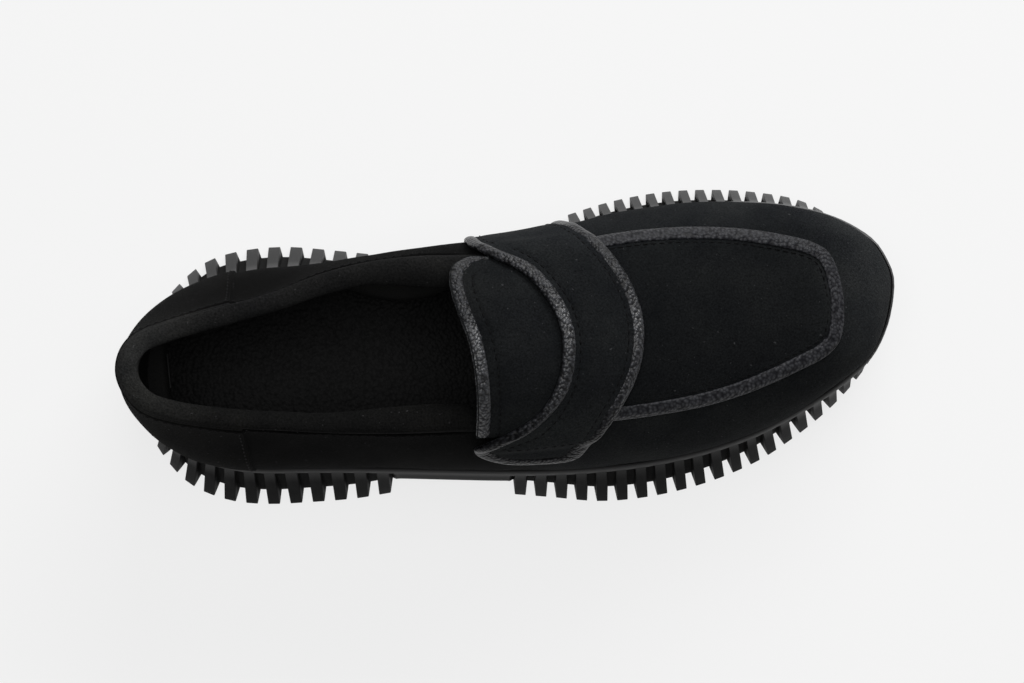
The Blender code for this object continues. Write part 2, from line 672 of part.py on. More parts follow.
def make_strap_piping(material):
    """One strip: down the front edge to the free end, round it, and back along the rear edge."""
    path = np.concatenate([STRAP_EDGES[::-1, [0, 2]], STRAP_EDGES[:, [0, 1]]])
    lower, upper = edge_strip(
        spaced(path, STRAP_PIPING_STATIONS), lambda q, x: strap_lift(q, x) + STRAP_THICKNESS
    )
    return slab("strap_piping", lower, upper, material)


# Assembly

def make_material(name):
    red, green, blue, roughness = COLOURS[name]
    material = bpy.data.materials.new(name)
    material.use_nodes = True
    shader = material.node_tree.nodes["Principled BSDF"]
    shader.inputs["Base Color"].default_value = (red, green, blue, 1.0)
    shader.inputs["Roughness"].default_value = roughness
    shader.inputs["Metallic"].default_value = 0.0
    return material


def main():
    materials = {name: make_material(name) for name in COLOURS}
    make_outsole(materials["rubber"])
    make_insole(materials["sock"])
    make_upper(materials["suede"])
    make_tongue(materials["suede"])
    make_strap(materials["suede"])
    make_apron_piping(materials["leather"])
    make_tongue_piping(materials["leather"])
    make_strap_piping(materials["leather"])


for old in list(bpy.data.objects):
    bpy.data.objects.remove(old)
shoe_collection = bpy.data.collections.new("suede_loafer")
bpy.context.scene.collection.children.link(shoe_collection)
main()
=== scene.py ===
"""Looks of the suede strap loafer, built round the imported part: fine shapes, stitches, nap, grain and light.

The forms repeat the part's own tables at a higher resolution, in millimetres, with +X to the toe and
+Y to the inner side of the foot. Rows count round the shoe from the toe tip: along the outer side to the
heel and back along the inner. Heights on the wall are shares from the sole's edge to the top edge.
"""

import math

import bmesh
import bpy
import numpy as np
from mathutils import Matrix, Vector


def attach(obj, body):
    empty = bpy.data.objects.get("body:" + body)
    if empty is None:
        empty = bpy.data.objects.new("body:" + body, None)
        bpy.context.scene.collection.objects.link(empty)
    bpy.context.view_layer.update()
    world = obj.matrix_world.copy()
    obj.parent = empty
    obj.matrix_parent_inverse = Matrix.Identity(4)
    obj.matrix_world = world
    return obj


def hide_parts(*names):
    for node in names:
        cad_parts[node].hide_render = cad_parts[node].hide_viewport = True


MM = 0.001

# Form of the last: a row for each section from the toe tip to the back of the heel.
SECTION_COLUMNS = (
    "feather_x", "feather_outer", "feather_inner", "top_x", "top_outer", "top_inner", "top_z",
    "crown", "bulge_outer", "bulge_inner", "lean", "flare_outer", "flare_inner",
)
SECTIONS = np.array([
    (139.3, 12.0, 12.0, 115.4, 6.3, 6.3, 57.0, 0.0, 1.0, 1.0, 22, 1.2, 1.2),
    (137.8, 3.5, 18.8, 115.1, 1.0, 11.6, 57.0, 0.4, 1.0, 1.0, 22, 1.4, 1.3),
    (134.6, -5.0, 25.4, 114.2, -4.4, 16.9, 57.2, 1.0, 1.0, 1.0, 23, 1.9, 1.7),
    (129.0, -13.6, 30.8, 112.0, -9.4, 21.2, 57.6, 1.8, 1.1, 1.1, 25, 3.2, 3.0),
    (121.0, -20.2, 36.0, 107.0, -13.2, 24.5, 58.4, 2.6, 1.2, 1.2, 28, 5.0, 5.0),
    (110.0, -26.8, 40.7, 99.0, -16.3, 27.2, 60.0, 3.6, 1.3, 1.3, 32, 7.2, 7.6),
    (96.0, -33.2, 44.2, 89.0, -19.8, 29.8, 62.2, 4.8, 1.5, 1.5, 36, 9.4, 8.6),
    (82.0, -38.2, 46.0, 78.0, -23.0, 31.8, 64.8, 6.0, 1.6, 1.6, 40, 11.2, 9.4),
    (64.0, -42.0, 46.7, 63.0, -25.9, 33.3, 68.0, 7.6, 1.8, 1.8, 44, 12.6, 10.0),
    (45.0, -43.8, 45.8, 45.0, -27.4, 33.5, 72.0, 9.4, 2.0, 1.6, 48, 13.3, 9.6),
    (27.0, -44.0, 42.8, 27.0, -27.9, 32.2, 76.0, 11.4, 2.0, 1.2, 52, 12.8, 9.0),
    (9.0, -43.1, 38.6, 9.0, -28.2, 30.8, 80.0, 13.4, 2.0, 3.2, 57, 10.2, 8.4),
    (-9.0, -41.3, 36.4, -9.0, -28.2, 31.0, 83.6, 15.2, 2.0, 4.5, 63, 8.6, 7.6),
    (-27.0, -39.0, 35.8, -27.0, -27.4, 33.0, 84.6, 16.6, 2.2, 4.8, 70, 8.0, 7.4),
    (-45.0, -36.6, 36.4, -45.0, -26.0, 33.4, 82.4, 17.0, 2.4, 4.6, 76, 8.6, 8.0),
    (-63.0, -34.4, 37.6, -63.0, -23.9, 31.2, 80.4, 17.0, 2.8, 4.0, 78, 11.6, 10.4),
    (-81.0, -32.5, 38.8, -80.0, -21.2, 26.8, 80.0, 17.0, 3.2, 4.0, 79, 13.0, 12.6),
    (-96.0, -31.0, 38.2, -95.0, -18.9, 24.0, 81.6, 17.0, 3.6, 4.0, 80, 13.5, 13.6),
    (-108.0, -28.2, 36.0, -107.0, -16.5, 21.8, 84.0, 17.0, 4.0, 4.0, 81, 13.6, 13.2),
    (-119.0, -23.4, 31.6, -118.0, -13.6, 19.4, 87.0, 17.0, 4.0, 4.0, 82, 12.2, 9.8),
    (-127.6, -16.4, 24.6, -127.0, -9.6, 16.4, 89.4, 17.0, 4.0, 4.0, 83, 8.8, 7.2),
    (-132.8, -7.2, 15.2, -132.2, -3.4, 11.2, 91.0, 17.0, 4.4, 4.4, 84, 6.8, 6.6),
    (-134.6, 4.0, 4.0, -134.2, 4.0, 4.0, 91.5, 17.0, 4.6, 4.6, 84, 6.4, 6.4),
])
HEEL_ROW = len(SECTIONS) - 1
RING = 2 * HEEL_ROW
THROAT_ROW = 12
LOWER_HANDLE = 0.42
UPPER_HANDLE = 0.38
INSTEP_ROUNDNESS = 2.2

# Small steps, in rows and shares, by which slopes of the last are taken, and how near to its edges.
PLAN_STEP = 0.05
TOP_STEP = 0.1
WALL_STEPS = (0.03, 0.01)
WALL_HEIGHTS = (0.01, 0.99)
INSTEP_STEPS = (0.05, 0.02)
INSTEP_FIRST_ROW = 0.1
INSTEP_REACH = 0.97

# Upper. A fade is the height where it starts and its length.
WALL_THICKNESS = 2.0
COLLAR_PADDING = 4.6
COLLAR_ROLL = 0.34
COLLAR_FROM_HEIGHT = 0.5
COLLAR_FULL_HEIGHT = 0.85
COLLAR_BLEND_ROWS = 0.5
COUNTER_ROW = 17.0
COUNTER_STEP = 1.0
COUNTER_EDGE = 0.05
COUNTER_FADE = (0.97, 0.03)
QUARTER_ROW = 10.5
STATIONS_PER_ROW = 14
COUNTER_STATIONS = 8
COUNTER_SPAN = (-0.2, 1.2)
WALL_ROWS = 56
RIM_ROWS = 26
RIM_FROM_HEIGHT = 0.9
INSTEP_POINTS = 96
ROLL_POINTS = 12
ROLL_RIPPLE = 0.25
ROLL_RIPPLE_STEPS = (0.21, 0.047)
UPPER_SHARP = 60
# The quarter and collar slots take copies of the suede with painted light and shade of their own.
SUEDE_SLOT, LINING_SLOT, QUARTER_SLOT, COLLAR_SLOT = range(4)

# Feather line and outsole.
HEEL_LIFT = 32.0
BALL_LIFT = 25.5
HEEL_X = -134.0
BALL_X = 50.0
TOE_LIFT = 9.0
TOE_LIFT_FROM = 55.0
TOE_LIFT_LENGTH = 85.0
RIM_TOP_OUT = 0.8
RIM_LOWER_OUT = 2.2
RIM_TOE_LESS = 0.8
RIM_TOE_ROWS = 4.5
RIM_HEEL = 9.0
RIM_BALL = 7.5
RIM_ROUND = 0.5
RIM_TOP_DROP = 0.3
RIM_MIDDLE_SHARE = 0.6
RIM_MIDDLE_SWELL = 0.25
RIM_EDGE_SWELL = 0.15
RIM_LIP_INSET = 0.35
TOE_SPRING = 12.0
TOE_SPRING_FROM = 80.0
TOE_SPRING_LENGTH = 60.0
TOE_SPRING_POWER = 1.8
HEEL_BREAST_X = -48.6
TREAD_LINE_X = 9.7
TREAD_LINE_SLANT = 0.325
ARCH_HEIGHT = 13.0
ARCH_RAMP = 2.0
WAIST_OUT = 4.0
WAIST_COLUMNS = 60
HEEL_LUG_ROWS = (14.16, 29.80)
FOREFOOT_LUG_ROWS = (33.98, 55.82)
HEEL_PITCH = (8.33, 8.33)
FOREFOOT_PITCH = (5.97, 7.76)
LUG_SAMPLES = 800
LUG_TIP_SHARE = 0.53
LUG_ROOT_SHARE = 0.68
LUG_CORNER_SHARE = 0.15
LUG_CORNER_DEPTH = 0.9
SLOT_DEPTH_FLOOR = 4.0
SLOT_OUTER_MORE = 1.7
SLOT_BLEND_ROWS = 4.0
SLOT_DEPTH_RIM = 2.2
# Depth share under which a lug's side counts as slot and takes the painted shade.
SLOT_SHADE_DEPTH = 0.6
FLOOR_LEVEL = 0.0
TOP_LEVEL = 60.0
CAP_KNOTS = np.arange(-135.0, 145.0, 10.0)
SOLE_SHARP = 40
RUBBER_SLOT, BOARD_SLOT, SHADED_SLOT = range(3)

# Half outline of a lug: place between root and tip, and how far along the flank to its corner.
LUG_PROFILE = np.array([(0.0, 1.06), (0.05, 1.0), (0.5, 0.5), (0.86, 0.1), (0.96, -0.05), (1.0, -0.28)])

# Rings of the tread from the floor to the rim: share of the height, and how far the lug's edge is rounded.
TREAD_LEVELS = ((0.0, 0.4), (0.015, 0.08), (0.035, 0.0), (0.35, 0.0), (0.7, 0.0), (1.0, 0.0))

# Mesh tolerances in metres.
MERGE_DISTANCE = 2e-6
SLIVER_DISTANCE = 1e-6
CAP_TOLERANCE = 1e-7

# Flat pattern of the overlays: q across from the middle of the instep, x along the shoe. Tongue rows are
# q and the rear edge, strap rows q, rear edge and front edge, and a ramp is its start and its length.
WRAP_ROWS = (6.0, 16.0)
WRAP_SAMPLES = 401
INSTEP_HALF = 34.0
WALL_LENGTH = 58.0
SEAM_BLEND = 12.0
TONGUE_REST = 0.6
TONGUE_THICKNESS = 2.0
TONGUE_FRONT_X = 28.0
TONGUE_TAPER = 0.15
TONGUE_EDGE = np.array([
    (-36.0, -16.0), (-24.0, -14.5), (-12.0, -14.2), (0.0, -15.3), (10.0, -17.8),
    (18.0, -19.3), (24.0, -19.2), (28.5, -17.4), (31.5, -12.5),
])
STRAP_THICKNESS = 2.2
STRAP_REST = 0.6
STRAP_OVER_TONGUE = 3.2
STRAP_RAMP_X = (22.0, 24.0)
STRAP_RAMP_OUTER = (38.0, 9.0)
STRAP_RAMP_INNER = (24.0, 26.0)
SHOULDER_RISE = 1.3
SHOULDER_Q = 43.0
SHOULDER_SPREAD = 8.0
STRAP_EDGES = np.array([
    (-58.5, -1.0, 12.4), (-57.5, -5.8, 16.2), (-55.0, -10.4, 19.0), (-51.0, -14.8, 20.7),
    (-47.0, -16.6, 22.5), (-43.0, -16.8, 24.3), (-38.5, -14.4, 26.4), (-34.0, -7.3, 29.4),
    (-30.0, 1.6, 33.0), (-24.0, 8.6, 37.7), (-17.0, 12.7, 41.3), (-8.5, 14.9, 43.6),
    (0.0, 15.3, 44.2), (7.0, 13.9, 43.5), (15.0, 10.2, 41.4), (24.0, 3.4, 37.4),
    (29.0, -4.0, 34.4), (34.0, -9.9, 31.2), (40.0, -12.0, 28.6), (48.5, -12.6, 26.5),
    (63.0, -12.6, 24.0), (85.0, -12.0, 21.0),
])
PIPING_WIDTH = 4.2
APRON_PIPING_WIDTH = 5.2

# Section of the binding: inward distance from the edge and height above the surface it edges.
PIPING_SECTION = np.array([
    (0.5, -2.0), (0.0, -1.7), (-0.25, -1.0), (-0.1, -0.35), (0.5, 0.15), (1.4, 0.45), (2.3, 0.5),
    (3.2, 0.35), (3.9, -0.05), (4.2, -0.6),
])
APRON_PIPING_RISE = 1.0
APRON_PIPING_SINK = 0.5
APRON_PIPING_LIFT = 0.1
APRON_PIPING_FULLNESS = 0.7
APRON_PIPING_ROWS = 10.2
APRON_PIPING_POINTS = 800
APRON_PIPING_SIDES = 24
APRON_WALL_SHARE = 0.2
APRON_ROWS = (0.0, 14.0)
APRON_SAMPLES = 561
APRON_LEAST_WIDTH = 0.1

# Width of the bindings, as shares: where the strap's rear edge rolls under, as q, reach and loss, how much
# wider its free end grows from a place on, and how the tongue's narrows at its inner end.
PIPING_ROLLS = ((-29.0, 12.0, 0.4), (29.0, 9.0, 0.25))
PIPING_END_MORE = 0.45
PIPING_END_Q = (-40.0, -10.0)
TONGUE_PIPING_FROM = -34.5
TONGUE_PIPING_WIDE = 1.1
TONGUE_PIPING_LESS = 0.75
TONGUE_PIPING_TAPER = 0.84

# Sock: its cupped form, its back edge, and where the inner side is cut away over the arch.
INSOLE_INSET = 2.6
INSOLE_THICKNESS = 4.5
INSOLE_CUP = 2.2
INSOLE_CUP_POWER = 5
INSOLE_SECTIONS = 180
INSOLE_POINTS = 49
SHEET_SHARP = 50
SOCK_FRONT_ROW = 0.02
SOCK_BACK_ROW = 19.8
SOCK_ARCH_X = -36.0
SOCK_ARCH_HALF = 46.0
SOCK_ARCH_CUT = 10.5
SOCK_EDGE_RADIUS = 0.3
SOCK_EDGE_ACROSS = (-0.18, 0.44)
SOCK_EDGE_POINTS = 60
SOCK_EDGE_SIDES = 8

# Soft relief of the skins. A pair is where a slope starts and how long it is. A collar swell is its row,
# its reach in rows and what it adds to the padding. A wave is its direction, length and size.
COLLAR_SWELLS = ((31.4, 1.8, 4.5), (30.0, 2.4, 1.2), (13.2, 2.6, 3.6))
WAVES = (
    ((0.9, 0.3, 0.2), 38.0, 0.12), ((0.2, 0.8, 0.6), 27.0, 0.10),
    ((-0.6, 0.5, 0.6), 19.0, 0.06), ((0.7, -0.6, 0.4), 14.0, 0.05),
)
SEAM_HEIGHT = 0.965
SEAM_SPREAD = 0.012
SEAM_DEPTH = 0.7
SWELL_TOP = (0.93, 0.07)
SWELL_FOOT = 0.06
APRON_SWELL_EDGE = 0.25
APRON_SWELL_ROWS = 1.5
FEATHER_TUCK = 0.8
FEATHER_TUCK_HEIGHT = 0.05
TOE_TUCK = 0.9
TOE_TUCK_ROWS = 4.0
TOE_TUCK_HEIGHT = 0.6
WELT_DROP = 1.1
STRAP_PUFF = 0.7
TONGUE_PUFF = 0.4
PUFF_FROM = PIPING_WIDTH - 0.6
PUFF_SPREAD = 6.0
TONGUE_PUFF_END = (2.0, 8.0)
STITCH_GROOVE = 0.3
GROOVE_SPREAD = 0.7
RIDGE_RISE = 0.5
RIDGE_SPREAD = 2.4
RIDGE_REAR = (-4.0, 6.0)
RIDGE_FRONT = (6.0, 8.0)
INNER_WALL_Q = (28.0, 12.0)
INNER_THINNING = 0.5
INNER_FLATNESS = 0.7
HEM = 1.2

# Fineness of the overlays and their edges, and how often an edge is smoothed.
TONGUE_GRID = (160, 90)
STRAP_GRID = (300, 90)
TONGUE_PATH = (300, 60)
TONGUE_SIDE = 0.17
TONGUE_SIDE_POINTS = 30
STRAP_SAMPLES = 500
STRAP_PATH = (1000, 110)
WIDTH_ROUNDS = 30
EDGE_SKIP = 4
TUBE_SHARP = 60

# Stitches: rings along a thread as place and radius shares, and how far each row lies from its edge.
STITCH_PITCH = 3.0
STITCH_LENGTH = 2.1
STITCH_RADIUS = 0.26
STITCH_PROFILE = ((-1.0, 0.0), (-0.85, 0.7), (0.0, 1.0), (0.85, 0.7), (1.0, 0.0))
STITCH_RISE = 0.4
STITCH_DIP = 0.9
STITCH_SIDES = 6
APRON_STITCH = 1.0
APRON_STITCH_ROWS = 10.0
APRON_STITCH_POINTS = 900
STRAP_STITCH = 5.6
STRAP_END_ROW = ((-41.0, -6.5), (-40.0, 20.0))
STRAP_END_POINTS = 60
TONGUE_STITCH = 7.4
TONGUE_STITCH_TO = -11.5
COLLAR_STITCH = 0.935
COLLAR_STITCH_ROWS = ((13.0, 20.3), (23.7, 31.0))
COLLAR_STITCH_POINTS = 450
COUNTER_STITCH = 0.13
COUNTER_STITCH_HEIGHTS = (0.04, 0.93)
COUNTER_STITCH_POINTS = 120

# Slopes of the suede's painted light and shade, which tint it lighter and darker by place: axis, start and end
# place in metres, and the tint at each.
PAINTED_LIGHT_SLOPES = (
    ("Y", -0.034, -0.018, (0.76, 0.765, 0.75), (0.56, 0.56, 0.56)),
    ("Y", 0.024, 0.042, (0.60, 0.60, 0.60), (0.95, 0.95, 0.96)),
    ("X", 0.100, 0.140, (0.360, 0.365, 0.370), (1.00, 1.00, 0.99)),
    ("X", -0.139, -0.100, (1.00, 0.99, 0.94), (0.270, 0.270, 0.262)),
    ("X", -0.050, 0.010, (0.58, 0.575, 0.54), (0.94, 0.99, 1.00)),
)
# Painted shade on the quarters: the suede's first slopes, and much darker behind the throat.
QUARTER_PAINTED_SHADE = PAINTED_LIGHT_SLOPES[:3] + (
    ("X", -0.139, -0.080, (1.00, 0.99, 0.94), (0.270, 0.270, 0.262)),
    ("X", -0.016, 0.018, (0.22, 0.218, 0.206), (0.94, 0.99, 1.00)),
)
# Painted light and shade on the collar: darker on the outer side and forward of the heel's back.
COLLAR_PAINTED_LIGHT = (
    ("Y", -0.030, 0.030, (0.55, 0.545, 0.50), (1.00, 0.99, 0.93)),
    ("X", -0.139, -0.100, (0.66, 0.66, 0.64), (0.270, 0.270, 0.270)),
)

# Suede: dark and light colour, and each layer's scale, detail, roughness and the places of its two tones.
NAP_GAIN = 30.0
NAP_COLOURS = ((0.0048, 0.0049, 0.0052), (0.0190, 0.0193, 0.0204))
PATCH_COLOURS = ((0.55, 0.56, 0.60), (1.0, 0.99, 0.97))
SPECK_COLOURS = ((0.0, 0.0, 0.0), (0.030, 0.030, 0.031))
SUEDE_LAYERS = {
    "patch": (42.0, 4.0, 0.6, 0.30, 0.70),
    "nap": (1500.0, 5.0, 0.65, 0.28, 0.74),
    "speck": (760.0, 1.0, 0.5, 0.735, 0.80),
}
SUEDE_ROUGHNESS = 0.95
SUEDE_GLOSS = 0.02
SHEEN_WEIGHT = 0.008
SHEEN_ROUGHNESS = 0.45
NAP_BUMP = (0.8, 0.0004)
# Painted light: the tongue's and strap's suede is made lighter because they face up to the lamps.
FLAP_LIGHT_GAIN = 1.35
COLLAR_GAIN = 0.17
LINING_HEIGHT = 0.72

# Painted light, shade and highlights on the leather and rubber, as grades of colour and gloss: axis, start and
# end place in metres, and the factor at each.
PAINTED_LIGHT_GRADES = {
    "piping": (
        ("Y", -0.036, -0.016, 0.34, 0.86), ("Y", -0.012, 0.002, 1.0, 1.28),
        ("Y", 0.004, 0.017, 1.0, 0.62), ("X", 0.010, 0.030, 1.0, 0.93),
    ),
    "piping_tongue": (("Y", -0.026, -0.004, 0.90, 1.12), ("Y", 0.002, 0.010, 1.0, 0.55)),
    "rubber": (
        ("Y", -0.012, 0.012, 0.85, 2.6), ("X", -0.060, 0.020, 0.85, 1.10), ("Z", 0.014, 0.024, 0.78, 1.25),
    ),
}

# Plain materials: dark and light colour, scale of the grain, roughness and gloss.
GRAINED = {
    "lining": ((0.014, 0.014, 0.0134), (0.026, 0.026, 0.0248), 1200.0, 0.9, 0.05),
    "rubber": ((0.0042, 0.0042, 0.0044), (0.0072, 0.0072, 0.0075), 2600.0, 0.55, 0.10),
    "board": ((0.019, 0.019, 0.0187), (0.029, 0.029, 0.0284), 2600.0, 0.7, 0.07),
    # Painted shade: the slots' rubber reflects less than the lugs', so that the slots look shaded.
    "rubber_slots_shaded": ((0.012, 0.012, 0.012), (0.018, 0.018, 0.018), 2600.0, 0.8, 0.04),
    "thread": ((0.0022, 0.0022, 0.0024), (0.0050, 0.0050, 0.0054), 5000.0, 0.6, 0.07),
    # A real roll at the sock's back edge; its colour, lighter than the sock's, is a painted highlight.
    "sock_edge": ((0.020, 0.020, 0.020), (0.032, 0.032, 0.033), 3000.0, 0.7, 0.3),
}
GRAIN_DETAIL = 3.0
GRAIN_PLACES = (0.3, 0.7)
GRAIN_BUMP = (0.25, 0.0002)

# Pebbled leathers: dark and light colour, roughness, gloss, and depth of the grain in metres.
PEBBLED = {
    "piping": ((0.007, 0.007, 0.008), (0.050, 0.052, 0.059), 0.37, 0.66, 0.0005),
    "piping_tongue": ((0.007, 0.007, 0.008), (0.050, 0.052, 0.059), 0.37, 0.66, 0.0005),
    "piping_apron": ((0.008, 0.008, 0.010), (0.042, 0.043, 0.048), 0.43, 0.16, 0.0004),
    "sock": ((0.0016, 0.0016, 0.0016), (0.0066, 0.0066, 0.0067), 0.6, 0.12, 0.0004),
}
PEBBLE_SCALE = 850.0
PEBBLE_SMOOTHNESS = 0.35
PEBBLE_PLACES = (0.15, 0.70)

# Camera, floor and lights.
CAMERA_DISTANCE = 0.9
CAMERA_ELEVATION = 86.0
CAMERA_ROLL = 6.2
CAMERA_TARGET = Vector((0.0, 0.0044, 0.030))
CAMERA_NEAR = 0.05
SENSOR_WIDTH = 36.0
PIXELS_PER_METRE = 2750.0
IMAGE_WIDTH = 1024
FLOOR_SIZE = 6.0
FLOOR_Z = -0.0005
FLOOR_GREY = 0.17
FLOOR_GLOW = 0.765
WORLD_STRENGTH = 0.10
LIGHTS = (
    ("overhead", (0.0, 0.15, 1.7), (0.0, 0.0, 0.0), (1.4, 1.2), 13.0),
    ("inner_side", (0.65, 1.15, 0.85), (0.0, 0.0, 0.03), (1.3, 0.8), 19.0),
)


# Shared maths

def smooth_step(value):
    t = np.clip(value, 0.0, 1.0)
    return t * t * (3.0 - 2.0 * t)


def rise_over(value, start, length):
    return smooth_step((value - start) / length)


def together(*values):
    """Numbers or arrays, spread to one shape."""
    return np.broadcast_arrays(*(np.asarray(value, float) for value in values))


def bell(value, middle, reach):
    return smooth_step(1.0 - np.abs(value - middle) / reach)


def lengths_along(points):
    return np.concatenate([[0.0], np.cumsum(np.linalg.norm(np.diff(points, axis=0), axis=1))])


def unit(vectors):
    return vectors / np.linalg.norm(vectors, axis=-1, keepdims=True)


def closed_column(name):
    """A column run round the whole shoe: along the outer side to the heel and back along the inner."""
    sides = (name, name) if name in SECTION_COLUMNS else (name + "_outer", name + "_inner")
    outer, inner = (SECTIONS[:, SECTION_COLUMNS.index(side)] for side in sides)
    return np.concatenate([outer, inner[-2:0:-1]])


RING_NAMES = ("feather_x", "feather", "top_x", "top", "top_z", "crown", "bulge", "lean", "flare")
RINGS = {name: closed_column(name) for name in RING_NAMES}


def ring_value(name, row):
    """A ring column on a smooth closed curve through its rows, at any row position."""
    knots = RINGS[name]
    row = np.asarray(row, float)
    first = np.floor(row).astype(int)
    t = row - first
    a, b, c, d = (knots[(first + step) % RING] for step in (-1, 0, 1, 2))
    bend = 2 * a - 5 * b + 4 * c - d
    twist = 3 * b - a - 3 * c + d
    return 0.5 * (2 * b + (c - a) * t + bend * t ** 2 + twist * t ** 3)


def smooth_table(at, knots, values):
    """A smooth curve through a table's rows."""
    slopes = np.gradient(values, knots)
    i = np.clip(np.searchsorted(knots, at, side="right") - 1, 0, len(knots) - 2)
    span = knots[i + 1] - knots[i]
    t = np.clip((at - knots[i]) / span, 0.0, 1.0)
    low = (1 + 2 * t) * (1 - t) ** 2 * values[i] + t * (1 - t) ** 2 * span * slopes[i]
    return low + t * t * (3 - 2 * t) * values[i + 1] + t * t * (t - 1) * span * slopes[i + 1]


# Form of the last

def feather_height(x):
    """Height of the edge where the upper meets the sole."""
    x = np.asarray(x, float)
    drop = smooth_step((x - HEEL_X) / (BALL_X - HEEL_X))
    lift = np.maximum(0.0, (x - TOE_LIFT_FROM) / TOE_LIFT_LENGTH) ** 2
    return HEEL_LIFT - (HEEL_LIFT - BALL_LIFT) * drop + TOE_LIFT * lift


def feather_plan(row):
    return np.stack([ring_value(name, row) for name in ("feather_x", "feather")], axis=-1)


def outward(row):
    """Level direction out of the feather line."""
    row = np.asarray(row, float)
    run = feather_plan(row + PLAN_STEP) - feather_plan(row - PLAN_STEP)
    return unit(np.stack([-run[..., 1], run[..., 0], np.zeros_like(row)], axis=-1))


def rows_from_toe(row):
    return np.minimum(row % RING, RING - row % RING)


def top_point(row):
    return np.stack([ring_value(name, row) for name in ("top_x", "top", "top_z")], axis=-1)


def wall_point(row, height):
    """A point of the upper's side wall, from the feather line at 0 to the top edge at 1."""
    row, height = together(row, height)
    plan = feather_plan(row)
    foot = np.concatenate([plan, feather_height(plan[..., :1])], axis=-1)
    top = top_point(row)
    out = outward(row)
    up = np.array([0.0, 0.0, 1.0])
    rise = (top - foot)[..., 2:]
    lean = np.radians(ring_value("lean", row))[..., None]
    chord = np.linalg.norm(top - foot, axis=-1, keepdims=True)
    low = foot + up * rise * LOWER_HANDLE + out * ring_value("bulge", row)[..., None]
    high = top + (out * np.cos(lean) - up * np.sin(lean)) * chord * UPPER_HANDLE
    t = height[..., None]
    return foot * (1 - t) ** 3 + low * 3 * t * (1 - t) ** 2 + high * 3 * t * t * (1 - t) + top * t ** 3


def instep_point(row, across):
    """A point of the crowned top, from the outer edge at -1 to the inner edge at 1."""
    row, across = together(row, across)
    share = (1 + across[..., None]) / 2
    point = top_point(row) * (1 - share) + top_point(RING - row) * share
    arch = ring_value("crown", row) * (1 - np.abs(across) ** INSTEP_ROUNDNESS)
    return point + np.stack([np.zeros_like(arch), np.zeros_like(arch), arch], axis=-1)


def surface_normal(function, first, second, step_first, step_second):
    run = function(first + step_first, second) - function(first - step_first, second)
    rise = function(first, second + step_second) - function(first, second - step_second)
    return unit(np.cross(rise, run))


def wall_normal(row, height):
    row, height = together(row, height)
    return surface_normal(wall_point, row, np.clip(height, *WALL_HEIGHTS), *WALL_STEPS)


def instep_normal(row, across):
    row, across = together(row, across)
    row = np.maximum(row, INSTEP_FIRST_ROW)
    return surface_normal(instep_point, row, np.clip(across, -INSTEP_REACH, INSTEP_REACH), *INSTEP_STEPS)


def wrap(q, x, lift):
    """Lays a flat pattern point on the upper: q across from the instep's middle, x along, lift off it."""
    q, x, lift = together(q, x, lift)
    rows = np.linspace(*WRAP_ROWS, WRAP_SAMPLES)
    row = np.interp(-x, -ring_value("top_x", rows), rows)
    side_row = np.where(q < 0, row, RING - row)
    across = np.clip(q / INSTEP_HALF, -1.0, 1.0)
    height = np.clip(1.0 - (np.abs(q) - INSTEP_HALF) / WALL_LENGTH, 0.0, 1.0)
    on_wall = (np.abs(q) > INSTEP_HALF)[..., None]
    point = np.where(on_wall, wall_point(side_row, height), instep_point(row, across))
    share = smooth_step((np.abs(q) - INSTEP_HALF + SEAM_BLEND) / (2 * SEAM_BLEND))[..., None]
    normal = unit(instep_normal(row, across) * (1 - share) + wall_normal(side_row, height) * share)
    return point + normal * lift[..., None]


# Meshes

def grid_quads(index):
    """Faces between neighbouring rows and columns of a grid of point numbers."""
    return np.stack([index[:-1, :-1], index[:-1, 1:], index[1:, 1:], index[1:, :-1]], axis=-1)


def linked_object(name, data):
    obj = bpy.data.objects.new(name, data)
    bpy.context.scene.collection.objects.link(obj)
    return obj


def new_mesh(name, points, faces, slots, materials):
    mesh = bpy.data.meshes.new(name)
    mesh.from_pydata((np.asarray(points) * MM).tolist(), [], faces)
    for material in materials:
        mesh.materials.append(material)
    mesh.polygons.foreach_set("material_index", slots)
    return mesh


def smooth_object(mesh, sharp):
    mesh.shade_smooth()
    if sharp:
        mesh.set_sharp_from_angle(angle=math.radians(sharp))
    return linked_object(mesh.name, mesh)


def clean_mesh(mesh):
    mesh_data = bmesh.new()
    mesh_data.from_mesh(mesh)
    bmesh.ops.remove_doubles(mesh_data, verts=mesh_data.verts, dist=MERGE_DISTANCE)
    bmesh.ops.recalc_face_normals(mesh_data, faces=mesh_data.faces)
    mesh_data.to_mesh(mesh)
    mesh_data.free()


class Patches:
    """Grids of points gathered into one mesh."""

    def __init__(self):
        self.points = []
        self.faces = []
        self.slots = []
        self.count = 0

    def add(self, grid, closed=False, round_across=False, slot=0):
        rows, columns = grid.shape[:2]
        index = np.arange(rows * columns).reshape(rows, columns) + self.count
        if closed:
            index = np.concatenate([index, index[:1]])
        if round_across:
            index = np.concatenate([index, index[:, :1]], axis=1)
        quads = grid_quads(index)
        self.faces += quads.reshape(-1, 4).tolist()
        self.slots += [slot] * (quads.shape[0] * quads.shape[1])
        self.points.append(grid.reshape(-1, 3))
        self.count += rows * columns

    def build(self, name, materials, sharp=None):
        mesh = new_mesh(name, np.concatenate(self.points), self.faces, self.slots, materials)
        clean_mesh(mesh)
        return smooth_object(mesh, sharp)


def sheet_solid(name, lower, upper, material):
    """A closed sheet between two grids of points."""
    patches = Patches()
    patches.add(lower)
    patches.add(upper)
    for end in (0, -1):
        patches.add(np.stack([lower[end], upper[end]]))
        patches.add(np.stack([lower[:, end], upper[:, end]]))
    return patches.build(name, [material], SHEET_SHARP)


# Outsole

